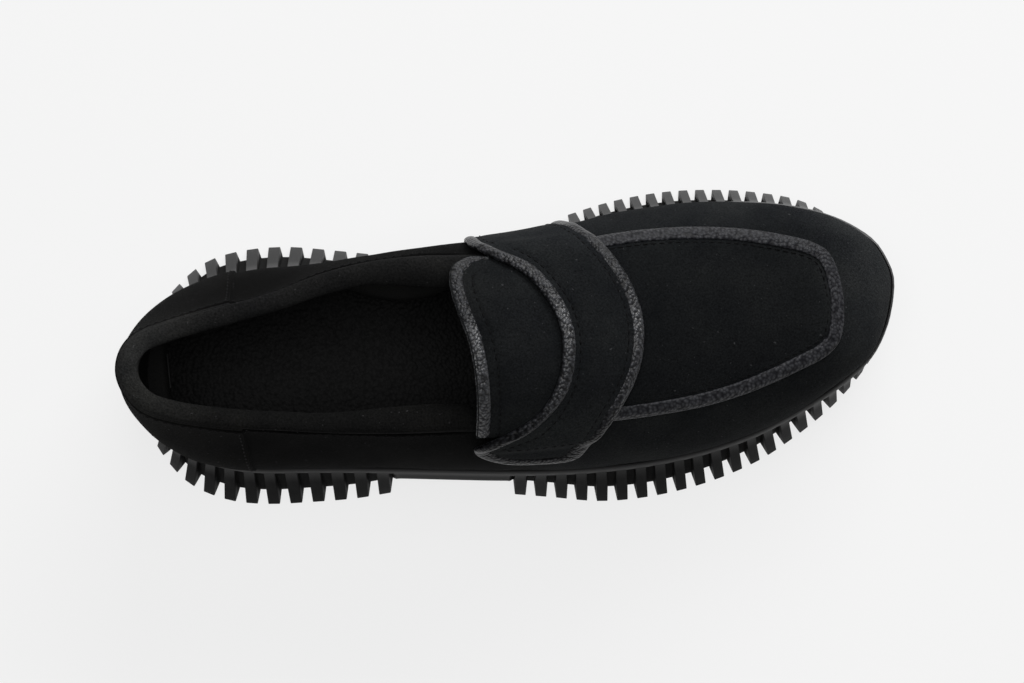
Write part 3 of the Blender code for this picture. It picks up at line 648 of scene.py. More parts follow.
def rim_height(x):
    """Height of the rim's lower edge, where the lugs begin."""
    share = smooth_step((np.asarray(x, float) - HEEL_X) / (BALL_X - HEEL_X))
    return feather_height(x) - RIM_HEEL - (RIM_BALL - RIM_HEEL) * share


def sole_bottom(x, y):
    """Height of the underside: flat heel and forefoot, raised waist, toe spring."""
    behind = np.maximum((x - HEEL_BREAST_X) / ARCH_RAMP, 0.0)
    ahead = np.maximum((TREAD_LINE_X + TREAD_LINE_SLANT * y - x) / ARCH_RAMP, 0.0)
    arch = ARCH_HEIGHT * np.minimum(np.minimum(behind, ahead), 1.0)
    spring = TOE_SPRING * np.maximum(0.0, (x - TOE_SPRING_FROM) / TOE_SPRING_LENGTH) ** TOE_SPRING_POWER
    return np.maximum(arch, spring)


def lug_layout(rows, pitches):
    """Ring rows at the floor and at the rim, and depth shares, for every point round a run of lugs."""
    samples = np.linspace(*rows, LUG_SAMPLES)
    tips = feather_plan(samples) + outward(samples)[..., :2] * ring_value("flare", samples)[..., None]
    lengths = lengths_along(tips)
    count = round(lengths[-1] / (sum(pitches) / 2))
    growth = (pitches[1] / pitches[0] - 1.0) / 2
    share = np.linspace(0.0, 1.0, count + 1)
    edges = lengths[-1] * share * (1 + growth * share) / (1 + growth)
    depth = np.concatenate([LUG_PROFILE[:, 0], LUG_PROFILE[::-1, 0]])
    width = np.concatenate([-LUG_PROFILE[:, 1], LUG_PROFILE[::-1, 1]])
    side = np.repeat([-1.0, 1.0], len(LUG_PROFILE))
    floor_rows, rim_rows, depths = [], [], []
    for start, end in zip(edges, edges[1:]):
        pitch = end - start
        spread = side * LUG_TIP_SHARE + width * (LUG_ROOT_SHARE - LUG_TIP_SHARE)
        corner = side * LUG_TIP_SHARE + width * LUG_CORNER_SHARE * (depth > LUG_CORNER_DEPTH)
        middle = (start + end) / 2
        floor_rows.append(np.interp(middle + spread * pitch / 2, lengths, samples))
        rim_rows.append(np.interp(middle + corner * pitch / 2, lengths, samples))
        depths.append(depth)
    return np.concatenate(floor_rows), np.concatenate(rim_rows), np.concatenate(depths)


def waist_layout(rows):
    """The same for the plain waist, marked by a depth of -1."""
    spread = np.linspace(*rows, WAIST_COLUMNS)
    return spread, spread, np.full(WAIST_COLUMNS, -1.0)


def rim_out(row):
    """How far the rim's lower edge stands out past the feather edge: least round the toe."""
    return RIM_LOWER_OUT - RIM_TOE_LESS * smooth_step(1.0 - rows_from_toe(row) / RIM_TOE_ROWS)


def slot_depth(row):
    """Depth of the slots at the floor: more on the outer side."""
    from_ends = np.minimum(row % RING, HEEL_ROW - row % RING)
    return SLOT_DEPTH_FLOOR + SLOT_OUTER_MORE * smooth_step(from_ends / SLOT_BLEND_ROWS)


def sole_ring(rows, out, z):
    plan = feather_plan(rows) + outward(rows)[..., :2] * out[:, None]
    return np.column_stack([plan, np.broadcast_to(z, len(rows))])


def tread_rings(floor_rows, rim_rows, depth, waist):
    """Rings of points round the lugs and the waist, from the floor up to the rim."""
    rings = []
    for level, inset in TREAD_LEVELS:
        rows = floor_rows * (1 - level) + rim_rows * level
        flare = np.where(waist, WAIST_OUT, ring_value("flare", rows))
        slot = slot_depth(rows) * (1 - level) + SLOT_DEPTH_RIM * level
        out = flare * (1 - level) + rim_out(rows) * level - slot * (1 - depth) - inset * depth
        ring = sole_ring(rows, out, 0.0)
        low = sole_bottom(ring[:, 0], ring[:, 1])
        ring[:, 2] = low * (1 - level) + rim_height(ring[:, 0]) * level
        rings.append(ring)
    rings[0][:, 2] = FLOOR_LEVEL
    return rings


def rim_rings(rows, low):
    """Rings of the plain rim above the lugs, up to a flat edge that the top cap fills."""
    full = np.ones(len(rows))
    lower = rim_out(rows)
    foot = sole_ring(rows, lower, low)
    top = feather_height(foot[:, 0]) - RIM_TOP_DROP
    middle = lower * RIM_MIDDLE_SHARE + RIM_TOP_OUT * (1 - RIM_MIDDLE_SHARE) + RIM_MIDDLE_SWELL
    return [
        foot,
        sole_ring(rows, middle, (low + top) / 2),
        sole_ring(rows, full * (RIM_TOP_OUT + RIM_EDGE_SWELL), top - RIM_ROUND),
        sole_ring(rows, full * (RIM_TOP_OUT - RIM_ROUND), top),
        sole_ring(rows, full * (RIM_TOP_OUT - RIM_ROUND - RIM_LIP_INSET), TOP_LEVEL),
    ]


def make_outsole(materials):
    heel_start, heel_end = HEEL_LUG_ROWS
    toe_start, toe_end = FOREFOOT_LUG_ROWS
    runs = [
        lug_layout(HEEL_LUG_ROWS, HEEL_PITCH),
        waist_layout((heel_end, toe_start)),
        lug_layout(FOREFOOT_LUG_ROWS, FOREFOOT_PITCH),
        waist_layout((toe_end, heel_start + RING)),
    ]
    floor_rows, rim_rows, depth = (np.concatenate(part) for part in zip(*runs))
    waist = depth < 0
    depth = np.where(waist, 1.0, depth)
    rings = tread_rings(floor_rows, rim_rows, depth, waist)
    rings += rim_rings(rim_rows, rings[-1][:, 2])
    mesh = ring_mesh(rings, (depth < SLOT_SHADE_DEPTH) & ~waist, materials)
    fill_sole(mesh)
    return smooth_object(mesh, SOLE_SHARP)


def ring_mesh(rings, in_slot, materials):
    """The sole's side faces, with the slots between the lugs in their own material: painted shade, a rubber
    that reflects less than the lugs'.
    """
    around = np.stack(rings, axis=1)
    count, levels = around.shape[:2]
    index = np.arange(count * levels).reshape(count, levels)
    quads = grid_quads(np.concatenate([index, index[:1]])).reshape(-1, 4)
    slots = np.full((count, levels - 1), RUBBER_SLOT)
    # Faces in the slots take the painted shade material.
    slots[in_slot & np.roll(in_slot, -1), :len(TREAD_LEVELS)] = SHADED_SLOT
    return new_mesh("outsole_rubber", around.reshape(-1, 3), quads.tolist(), slots.ravel(), materials)


def fill_sole(mesh):
    """Closes the sole below and above, and bends both caps to their form."""
    mesh_data = bmesh.new()
    mesh_data.from_mesh(mesh)
    bmesh.ops.remove_doubles(mesh_data, verts=mesh_data.verts, dist=MERGE_DISTANCE)
    bmesh.ops.dissolve_degenerate(mesh_data, edges=mesh_data.edges, dist=SLIVER_DISTANCE)
    bmesh.ops.holes_fill(mesh_data, edges=[e for e in mesh_data.edges if e.is_boundary])
    bmesh.ops.recalc_face_normals(mesh_data, faces=mesh_data.faces)
    for face in mesh_data.faces:
        if on_level(face.verts, TOP_LEVEL):
            face.material_index = BOARD_SLOT
    across = cross_planes(CAP_KNOTS, 0.0)
    breast = cross_planes((HEEL_BREAST_X, HEEL_BREAST_X + ARCH_RAMP), 0.0)
    tread = cross_planes((TREAD_LINE_X, TREAD_LINE_X - ARCH_RAMP), TREAD_LINE_SLANT)
    bend_cap(mesh_data, TOP_LEVEL, across, lambda x, y: feather_height(x) - WELT_DROP)
    bend_cap(mesh_data, FLOOR_LEVEL, breast + tread + across, sole_bottom)
    mesh_data.to_mesh(mesh)
    mesh_data.free()


def cross_planes(places, slant):
    """Upright cutting planes across the shoe, each a point and a normal."""
    return [((x * MM, 0, 0), (1, -slant, 0)) for x in places]


def on_level(verts, level):
    return all(abs(vert.co.z - level * MM) < CAP_TOLERANCE for vert in verts)


def bend_cap(mesh_data, level, planes, height):
    """Cuts a flat cap along planes and lifts its points to a height over x and y."""
    for point, normal in planes:
        cap = [face for face in mesh_data.faces if on_level(face.verts, level)]
        parts = set(cap)
        for face in cap:
            parts.update(face.verts)
            parts.update(face.edges)
        bmesh.ops.bisect_plane(
            mesh_data, geom=list(parts), dist=CAP_TOLERANCE, plane_co=point, plane_no=normal)
    for vert in mesh_data.verts:
        if on_level([vert], level):
            vert.co.z = float(height(vert.co.x / MM, vert.co.y / MM)) * MM


# Insole

def inner_inset(x):
    return INSOLE_INSET + SOCK_ARCH_CUT * bell(x, SOCK_ARCH_X, SOCK_ARCH_HALF)


def sock_plan(sections, across):
    outer = feather_plan(sections) - outward(sections)[:, :2] * INSOLE_INSET
    inner = feather_plan(RING - sections)
    inner = inner - outward(RING - sections)[:, :2] * inner_inset(inner[:, :1])
    share = (1 + across[None, :, None]) / 2
    return outer[:, None] * (1 - share) + inner[:, None] * share


def sock_faces(sections, across):
    """Lower and upper points of the cupped sock."""
    plan = sock_plan(sections, across)
    low = feather_height(plan[..., 0])
    cup = INSOLE_CUP * np.abs(across[None, :]) ** INSOLE_CUP_POWER
    heights = (low, low + INSOLE_THICKNESS + cup)
    return [np.concatenate([plan, height[..., None]], axis=-1) for height in heights]


def make_insole(material):
    sections = np.linspace(SOCK_FRONT_ROW, SOCK_BACK_ROW, INSOLE_SECTIONS)
    lower, upper = sock_faces(sections, np.linspace(-1.0, 1.0, INSOLE_POINTS))
    return sheet_solid("insole_sock", lower, upper, material)


def make_sock_edge(material):
    across = np.linspace(*SOCK_EDGE_ACROSS, SOCK_EDGE_POINTS)
    middle = sock_faces(np.array([SOCK_BACK_ROW]), across)[1][0]
    rings = []
    for angle in np.linspace(0.0, 2 * math.pi, SOCK_EDGE_SIDES, endpoint=False):
        offset = np.array([math.cos(angle), 0.0, math.sin(angle)]) * SOCK_EDGE_RADIUS
        rings.append(middle + offset)
    return tube("insole_back_edge", np.stack(rings, axis=1), material)


# Upper

def padding(row, height):
    """Thickness of the wall, padded round the collar."""
    around = smooth_step((row - THROAT_ROW) / COLLAR_BLEND_ROWS)
    around = around * smooth_step((RING - THROAT_ROW - row) / COLLAR_BLEND_ROWS)
    upwards = smooth_step((height - COLLAR_FROM_HEIGHT) / (COLLAR_FULL_HEIGHT - COLLAR_FROM_HEIGHT))
    swell = 0.0
    for middle, reach, rise in COLLAR_SWELLS:
        swell = swell + rise * bell(row, middle, reach)
    return WALL_THICKNESS + (COLLAR_PADDING + swell) * around * upwards


def counter_lift(row):
    rise = smooth_step((row - COUNTER_ROW) / COUNTER_EDGE)
    return COUNTER_STEP * rise * smooth_step((RING - COUNTER_ROW - row) / COUNTER_EDGE)


def wall_inside(row, height):
    return wall_point(row, height) - wall_normal(row, height) * padding(row, height)[..., None]


def top_inside(row):
    section = np.where(row > HEEL_ROW, RING - row, row)
    side = np.where(row > HEEL_ROW, 1.0, -1.0)
    collar = smooth_step(section - THROAT_ROW + COLLAR_BLEND_ROWS)
    share = ((1 - collar) / 2)[..., None]
    normal = unit(wall_normal(row, 1.0) * (1 - share) + instep_normal(section, side) * share)
    return top_point(row) - normal * padding(row, 1.0)[..., None]


def unevenness(points):
    """Slow swells of a hand-lasted skin, as a sum of waves."""
    total = np.zeros(points.shape[:-1])
    for direction, length, size in WAVES:
        total += size * np.sin(points @ np.array(direction) * 2 * math.pi / length)
    return total


def on_collar(row):
    return smooth_step(row - THROAT_ROW) * smooth_step(RING - THROAT_ROW - row)


def outside_lift(row, height, points):
    """Counter overlay, slow swells, seam groove under the collar, and tucks at the feather line and toe."""
    free = 1 - rise_over(height, *SWELL_TOP)
    swell = unevenness(points) * free * smooth_step(height / SWELL_FOOT)
    groove = SEAM_DEPTH * np.exp(-((height - SEAM_HEIGHT) / SEAM_SPREAD) ** 2) * on_collar(row)
    tuck = FEATHER_TUCK * (1 - smooth_step(height / FEATHER_TUCK_HEIGHT))
    toe = smooth_step(1.0 - rows_from_toe(row) / TOE_TUCK_ROWS)
    tuck = tuck + TOE_TUCK * toe * (1 - smooth_step(height / TOE_TUCK_HEIGHT))
    counter = counter_lift(row) * (1 - rise_over(height, *COUNTER_FADE))
    return counter + swell - groove - tuck


def wall_run(rows, heights):
    """Points of the wall's outer skin with all its relief."""
    skin = wall_point(rows, heights)
    return skin + wall_normal(rows, heights) * outside_lift(rows, heights, skin)[..., None]


def rest_of(run, count):
    """The stations round the ring that a run leaves, with both its ends."""
    return np.concatenate([np.arange(run[-1], count), np.arange(0, run[0] + 1)])


def wall_stations():
    """Ring rows and heights of the wall's points, closer together at the counter step and the top edge."""
    rows = np.arange(0, RING * STATIONS_PER_ROW) / STATIONS_PER_ROW
    steps = np.linspace(*COUNTER_SPAN, COUNTER_STATIONS) * COUNTER_EDGE
    rows = np.unique(np.concatenate([rows, COUNTER_ROW + steps, RING - COUNTER_ROW - steps]))
    lower = np.linspace(0.0, RIM_FROM_HEIGHT, WALL_ROWS, endpoint=False)
    return rows, np.concatenate([lower, np.linspace(RIM_FROM_HEIGHT, 1.0, RIM_ROWS)])


def wall_skins(rows, heights):
    row_grid, height_grid = np.meshgrid(rows, heights, indexing="ij")
    outside = wall_run(row_grid, height_grid)
    inside = wall_inside(row_grid, height_grid)
    inside[:, -1] = top_inside(rows)
    return outside, inside


def apron_skins(front):
    """The apron's skin and lining, which share their edges with the wall's."""
    across = np.linspace(-1.0, 1.0, INSTEP_POINTS + 1)
    rows, across = np.meshgrid(front, across, indexing="ij")
    skin, normal = instep_point(rows, across), instep_normal(rows, across)
    flat = smooth_step((1 - np.abs(across)) / APRON_SWELL_EDGE) * smooth_step(rows / APRON_SWELL_ROWS)
    inside = skin - normal * WALL_THICKNESS
    inside[:, 0] = top_inside(front)
    inside[:, -1] = top_inside((RING - front) % RING)
    inside[0] = top_inside(np.zeros(1))
    return skin + normal * (unevenness(skin) * flat)[..., None], inside


def collar_lip(lip_out, lip_in):
    """The padded roll between the outer and the inner edge of the opening, slightly uneven along it."""
    thickness = np.linalg.norm(lip_out - lip_in, axis=1)
    roll = COLLAR_ROLL * np.maximum(thickness - WALL_THICKNESS, 0.0)
    first, second = (np.sin(np.arange(len(roll)) * step) for step in ROLL_RIPPLE_STEPS)
    ripple = 1.0 + ROLL_RIPPLE * first * second
    lip = []
    for angle in np.linspace(0.0, math.pi, ROLL_POINTS):
        share = (1 - math.cos(angle)) / 2
        arc = lip_out * (1 - share) + lip_in * share
        arc[:, 2] += roll * math.sin(angle) * ripple
        lip.append(arc)
    return np.stack(lip, axis=1)


def make_upper(materials):
    rows, heights = wall_stations()
    outside, inside = wall_skins(rows, heights)
    apron, apron_inside = apron_skins(rows[rows <= THROAT_ROW])
    collar = np.nonzero((rows >= THROAT_ROW) & (rows <= RING - THROAT_ROW))[0]
    quarters = np.nonzero((rows >= QUARTER_ROW) & (rows <= RING - QUARTER_ROW))[0]
    lip_out = np.concatenate([outside[collar, -1], apron[-1, -2:0:-1]])
    lip_in = np.concatenate([inside[collar, -1], apron_inside[-1, -2:0:-1]])
    seam, split = np.searchsorted(heights, (SEAM_HEIGHT, LINING_HEIGHT))

    patches = Patches()
    patches.add(outside[quarters, :seam + 1], slot=QUARTER_SLOT)
    patches.add(outside[rest_of(quarters, len(rows)), :seam + 1], slot=SUEDE_SLOT)
    patches.add(outside[collar, seam:], slot=COLLAR_SLOT)
    patches.add(outside[rest_of(collar, len(rows)), seam:], slot=SUEDE_SLOT)
    patches.add(inside[:, :split + 1], closed=True, slot=LINING_SLOT)
    patches.add(inside[:, split:], closed=True, slot=COLLAR_SLOT)
    patches.add(np.stack([outside[:, 0], inside[:, 0]], axis=1), closed=True, slot=LINING_SLOT)
    patches.add(apron, slot=SUEDE_SLOT)
    patches.add(apron_inside, slot=LINING_SLOT)
    patches.add(collar_lip(lip_out, lip_in), closed=True, slot=COLLAR_SLOT)
    return patches.build("upper_suede", materials, UPPER_SHARP)


# Tongue, strap and piping

def tongue_rear(q):
    return smooth_table(q, TONGUE_EDGE[:, 0], TONGUE_EDGE[:, 1])


def edge_distance(q, x, path):
    """Distance of flat pattern points from an edge."""
    flat = np.stack([q, x], axis=-1)
    nearest = np.full(q.shape, np.inf)
    for point in path[::EDGE_SKIP]:
        nearest = np.minimum(nearest, np.hypot(flat[..., 0] - point[0], flat[..., 1] - point[1]))
    return nearest


def padded_rise(distance, rise, groove_at):
    puff = rise * rise_over(distance, PUFF_FROM, PUFF_SPREAD)
    return puff - STITCH_GROOVE * np.exp(-((distance - groove_at) / GROOVE_SPREAD) ** 2)


def tongue_top(q, x):
    return np.full(np.shape(q), TONGUE_REST + TONGUE_THICKNESS)


def tongue_skin(q, x):
    """Lift of the padded tongue, flat where the strap covers it."""
    puff = padded_rise(edge_distance(q, x, tongue_path()), TONGUE_PUFF, TONGUE_STITCH)
    return tongue_top(q, x) + puff * (1 - rise_over(x, *TONGUE_PUFF_END))


def make_tongue(material):
    q = np.linspace(TONGUE_EDGE[0, 0], TONGUE_EDGE[-1, 0], TONGUE_GRID[0])[:, None]
    share = np.linspace(0.0, 1.0, TONGUE_GRID[1])[None, :]
    x = tongue_rear(q) * (1 - share) + TONGUE_FRONT_X * share
    q = q * (1.0 - TONGUE_TAPER * smooth_step(share))
    q, x = np.broadcast_arrays(q, x)
    return sheet_solid("tongue_suede", wrap(q, x, TONGUE_REST), wrap(q, x, tongue_skin(q, x)), material)


def strap_lift(q, x):
    along = 1.0 - rise_over(x, *STRAP_RAMP_X)
    aside = 1.0 - rise_over(-q, *STRAP_RAMP_OUTER) - rise_over(q, *STRAP_RAMP_INNER)
    shoulder = SHOULDER_RISE * np.exp(-((q - SHOULDER_Q) / SHOULDER_SPREAD) ** 2)
    return STRAP_REST + (STRAP_OVER_TONGUE - STRAP_REST) * along * aside + shoulder


def strap_edge(q, column):
    return smooth_table(q, STRAP_EDGES[:, 0], STRAP_EDGES[:, column])


def on_inner_wall(q):
    return rise_over(q, *INNER_WALL_Q)


def strap_top(q, x):
    return strap_lift(q, x) + STRAP_THICKNESS * (1 - INNER_THINNING * on_inner_wall(q))


def strap_skin(q, x):
    """Lift of the padded strap, flatter on the inner wall."""
    puff = padded_rise(edge_distance(q, x, strap_path()), STRAP_PUFF, STRAP_STITCH)
    return strap_top(q, x) + puff * (1 - INNER_FLATNESS * on_inner_wall(q))


def make_strap(material):
    q = np.linspace(STRAP_EDGES[0, 0] + HEM, STRAP_EDGES[-1, 0], STRAP_GRID[0])[:, None]
    share = np.linspace(0.0, 1.0, STRAP_GRID[1])[None, :]
    x = (strap_edge(q, 1) + HEM) * (1 - share) + (strap_edge(q, 2) - HEM) * share
    q, x = np.broadcast_arrays(q, x)
    ridge = RIDGE_RISE * np.exp(-((q - INSTEP_HALF) / RIDGE_SPREAD) ** 2)
    ridge = ridge * rise_over(x, *RIDGE_REAR) * rise_over(strap_edge(q, 2) - x, *RIDGE_FRONT)
    top = strap_skin(q, x) + ridge
    return sheet_solid("strap_suede", wrap(q, x, strap_lift(q, x)), wrap(q, x, top), material)


def even_path(points, count):
    lengths = lengths_along(points)
    even = np.linspace(0.0, lengths[-1], count)
    return np.column_stack([np.interp(even, lengths, points[:, k]) for k in range(points.shape[1])])


def relax(path, rounds):
    path = path.copy()
    for _ in range(rounds):
        path[1:-1] = (path[:-2] + 2 * path[1:-1] + path[2:]) / 4
    return path


def inside_of(path):
    run = unit(np.gradient(path, axis=0))
    return np.stack([-run[:, 1], run[:, 0]], axis=1)


def edge_piping(name, path, width, lift, material):
    """A flat rounded strip that binds a pattern edge; the piece lies on the left of the path."""
    across = PIPING_SECTION[None, :, :1] * width[:, None, None]
    flat = path[:, None, :] + inside_of(path)[:, None, :] * across
    q, x = flat[..., 0], flat[..., 1]
    return tube(name, wrap(q, x, lift(q, x) + PIPING_SECTION[None, :, 1]), material)


def tube(name, points, material):
    """A closed tube from rings of points, with its two ends filled."""
    patches = Patches()
    patches.add(points, round_across=True)
    for end in (points[0], points[-1]):
        middle = np.broadcast_to(end.mean(axis=0), end.shape)
        patches.add(np.stack([end, middle]), round_across=True)
    return patches.build(name, [material], TUBE_SHARP)


def tongue_path():
    q = np.linspace(TONGUE_PIPING_FROM, TONGUE_EDGE[-1, 0], TONGUE_PATH[0])
    rear = np.column_stack([q, tongue_rear(q)])
    share = np.linspace(0.0, TONGUE_SIDE, TONGUE_SIDE_POINTS)[1:]
    side_q = TONGUE_EDGE[-1, 0] * (1.0 - TONGUE_TAPER * smooth_step(share))
    side_x = TONGUE_EDGE[-1, 1] * (1 - share) + TONGUE_FRONT_X * share
    points, rounds = TONGUE_PATH
    return relax(even_path(np.concatenate([rear, np.column_stack([side_q, side_x])]), points), rounds)


def strap_path():
    q = np.linspace(STRAP_EDGES[0, 0], STRAP_EDGES[-1, 0], STRAP_SAMPLES)
    front = np.column_stack([q, strap_edge(q, 2)])[::-1]
    rear = np.column_stack([q, strap_edge(q, 1)])
    points, rounds = STRAP_PATH
    return relax(even_path(np.concatenate([front, rear]), points), rounds)


def strap_piping_width(path):
    """Width shares along the strap's binding, which rolls under where it turns down at each side."""
    rear_edge = np.arange(len(path)) >= len(path) / 2
    width = np.ones(len(path))
    for middle_q, reach, loss in PIPING_ROLLS:
        width -= loss * bell(path[:, 0], middle_q, reach) * rear_edge
    width += PIPING_END_MORE * rise_over(path[:, 0], *PIPING_END_Q)
    return relax(width[:, None], WIDTH_ROUNDS)[:, 0]


def apron_run(rows):
    """Apron seam points on the top edge with their outward lift and inward run, over signed rows."""
    ring = rows % RING
    side = np.where(rows < 0, 1.0, -1.0)
    normal = unit(wall_normal(ring, 1.0) + instep_normal(np.abs(rows), side))
    run = top_point(ring + TOP_STEP)[:, :2] - top_point(ring - TOP_STEP)[:, :2]
    return ring, normal, unit(np.stack([run[:, 1], -run[:, 0]], axis=1))


def make_tongue_piping(material):
    path = tongue_path()
    along = np.linspace(0.0, 1.0, len(path))
    taper = smooth_step((along - TONGUE_PIPING_TAPER) / (1 - TONGUE_PIPING_TAPER))
    width = TONGUE_PIPING_WIDE - TONGUE_PIPING_LESS * taper
    return edge_piping("tongue_piping_leather", path, width, tongue_top, material)


def make_strap_piping(material):
    path = strap_path()
    return edge_piping("strap_piping_leather", path, strap_piping_width(path), strap_top, material)


def make_apron_piping(material):
    rows = np.linspace(-APRON_PIPING_ROWS, APRON_PIPING_ROWS, APRON_PIPING_POINTS)
    ring, normal, inwards = apron_run(rows)
    top = top_point(ring)
    wall_span = np.linalg.norm(top - wall_point(ring, 1.0 - APRON_WALL_SHARE), axis=1) / APRON_WALL_SHARE
    points = []
    for angle in np.linspace(0.0, 2 * math.pi, APRON_PIPING_SIDES, endpoint=False):
        share, rise = -math.cos(angle), math.sin(angle)
        aside = abs(share) * APRON_PIPING_WIDTH / 2
        if share < 0:
            base = wall_point(ring, 1.0 - aside / wall_span)
        else:
            base = apron_at(*(top[:, :2] + inwards * aside).T)
        height = APRON_PIPING_SINK * rise
        if rise > 0:
            height = APRON_PIPING_RISE * rise ** APRON_PIPING_FULLNESS
        points.append(base + normal * (APRON_PIPING_LIFT + height))
    return tube("apron_piping_leather", np.stack(points, axis=1), material)


def apron_at(x, y):
    """The point of the apron above a place in plan."""
    rows = np.linspace(*APRON_ROWS, APRON_SAMPLES)
    row = np.interp(-x, -ring_value("top_x", rows), rows)
    low, high = top_point(row)[..., 1], top_point(RING - row)[..., 1]
    across = np.clip((2 * y - low - high) / np.maximum(high - low, APRON_LEAST_WIDTH), -1.0, 1.0)
    return instep_point(row, across)


# Stitches

def add_stitches(patches, points, normals):
    """Short rounded threads, evenly spaced along a run of surface points."""
    lengths = lengths_along(points)
    count = int(lengths[-1] / STITCH_PITCH)

    def at(place, values):
        return np.array([np.interp(place, lengths, values[:, k]) for k in range(3)])

    for index in range(count):
        middle = (index + 0.5) * lengths[-1] / count
        start, end = at(middle - STITCH_LENGTH / 2, points), at(middle + STITCH_LENGTH / 2, points)
        along, lift = unit(end - start), unit(at(middle, normals))
        aside = np.cross(along, lift)
        rings = []
        for share, radius in STITCH_PROFILE:
            centre = (start + end) / 2 + along * share * STITCH_LENGTH / 2
            centre = centre + lift * STITCH_RADIUS * (STITCH_RISE - STITCH_DIP * share * share)
            turn = np.linspace(0.0, 2 * math.pi, STITCH_SIDES + 1)[:-1, None]
            rings.append(centre + (np.cos(turn) * lift + np.sin(turn) * aside) * STITCH_RADIUS * radius)
        patches.add(np.stack(rings), round_across=True)


def add_flat_row(patches, path, lift):
    """A row of stitches along a path on a flat pattern."""
    q, x = path[:, 0], path[:, 1]
    points = wrap(q, x, lift(q, x))
    add_stitches(patches, points, wrap(q, x, lift(q, x) + 1.0) - points)


def add_wall_row(patches, rows, heights):
    rows, heights = np.broadcast_arrays(rows, heights)
    add_stitches(patches, wall_run(rows, heights), wall_normal(rows, heights))


def make_stitches(material):
    patches = Patches()
    apron_rows = np.linspace(-APRON_STITCH_ROWS, APRON_STITCH_ROWS, APRON_STITCH_POINTS)
    ring, normal, inwards = apron_run(apron_rows)
    plan = top_point(ring)[:, :2] + inwards * (APRON_PIPING_WIDTH / 2 + APRON_STITCH)
    add_stitches(patches, apron_at(*plan.T), normal)
    strap, tongue = strap_path(), tongue_path()
    add_flat_row(patches, strap + inside_of(strap) * STRAP_STITCH, strap_skin)
    add_flat_row(patches, np.linspace(*STRAP_END_ROW, STRAP_END_POINTS), strap_skin)
    tongue = tongue[tongue[:, 1] < TONGUE_STITCH_TO]
    add_flat_row(patches, tongue + inside_of(tongue) * TONGUE_STITCH, tongue_skin)
    for ends in COLLAR_STITCH_ROWS:
        add_wall_row(patches, np.linspace(*ends, COLLAR_STITCH_POINTS), COLLAR_STITCH)
    heights = np.linspace(*COUNTER_STITCH_HEIGHTS, COUNTER_STITCH_POINTS)
    for row in (COUNTER_ROW + COUNTER_STITCH, RING - COUNTER_ROW - COUNTER_STITCH):
        add_wall_row(patches, row, heights)
    return patches.build("stitches", [material])


# Materials

def new_material(name, rough, gloss):
    material = bpy.data.materials.new(name)
    material.use_nodes = True
    tree = material.node_tree
    shader = tree.nodes["Principled BSDF"]
    shader.inputs["Roughness"].default_value = rough
    shader.inputs["Specular IOR Level"].default_value = gloss
    return material, tree, shader


def node(tree, kind, **values):
    made = tree.nodes.new(kind)
    for key, value in values.items():
        if key in made.inputs:
            made.inputs[key].default_value = value
        else:
            setattr(made, key, value)
    return made


def texture(tree, kind, **values):
    """A texture laid in the shoe's own frame."""
    made = node(tree, kind, **values)
    tree.links.new(node(tree, "ShaderNodeTexCoord").outputs["Object"], made.inputs["Vector"])
    return made


def ramp(tree, source, places, colours):
    made = node(tree, "ShaderNodeValToRGB")
    for element, place, colour in zip(made.color_ramp.elements, places, colours):
        element.position = place
        element.color = (*colour, 1)
    tree.links.new(source, made.inputs["Fac"])
    return made.outputs["Color"]


def mixed(tree, kind, first, second):
    made = node(tree, "ShaderNodeMix", data_type="RGBA", blend_type=kind)
    made.inputs["Factor"].default_value = 1.0
    tree.links.new(first, made.inputs[6])
    tree.links.new(second, made.inputs[7])
    return made.outputs[2]


def times(tree, first, second):
    made = node(tree, "ShaderNodeMath", operation="MULTIPLY")
    tree.links.new(first, made.inputs[0])
    if isinstance(second, float):
        made.inputs[1].default_value = second
    else:
        tree.links.new(second, made.inputs[1])
    return made.outputs["Value"]


def slope(tree, axis, start, end, low, high):
    """A value that goes from low to high between two places along an axis of the shoe."""
    parts = texture(tree, "ShaderNodeSeparateXYZ")
    made = node(tree, "ShaderNodeMapRange", interpolation_type="SMOOTHSTEP")
    for key, value in (("From Min", start), ("From Max", end), ("To Min", low), ("To Max", high)):
        made.inputs[key].default_value = value
    tree.links.new(parts.outputs[axis], made.inputs["Value"])
    return made.outputs["Result"]


def coat(tree, shader, colour, gloss, light_grades):
    """Gives a shader its colour and gloss, both graded along the shoe as painted light, shade and highlights.
    """
    if light_grades:
        factor = slope(tree, *light_grades[0])
        for grade in light_grades[1:]:
            factor = times(tree, factor, slope(tree, *grade))
        colour = mixed(tree, "MULTIPLY", colour, factor)
        squared = times(tree, factor, factor)
        tree.links.new(times(tree, squared, gloss), shader.inputs["Specular IOR Level"])
    tree.links.new(colour, shader.inputs["Base Color"])


def roughen(tree, shader, height, strength, depth, invert=False):
    bump = node(tree, "ShaderNodeBump", Strength=strength, Distance=depth, invert=invert)
    tree.links.new(height, bump.inputs["Height"])
    tree.links.new(bump.outputs["Normal"], shader.inputs["Normal"])


def suede_layer(tree, layer, colours):
    """The noise of one layer of the suede, and its two tones."""
    scale, detail, rough, *places = SUEDE_LAYERS[layer]
    noise = texture(tree, "ShaderNodeTexNoise", Scale=scale, Detail=detail, Roughness=rough).outputs["Fac"]
    return noise, ramp(tree, noise, places, colours)


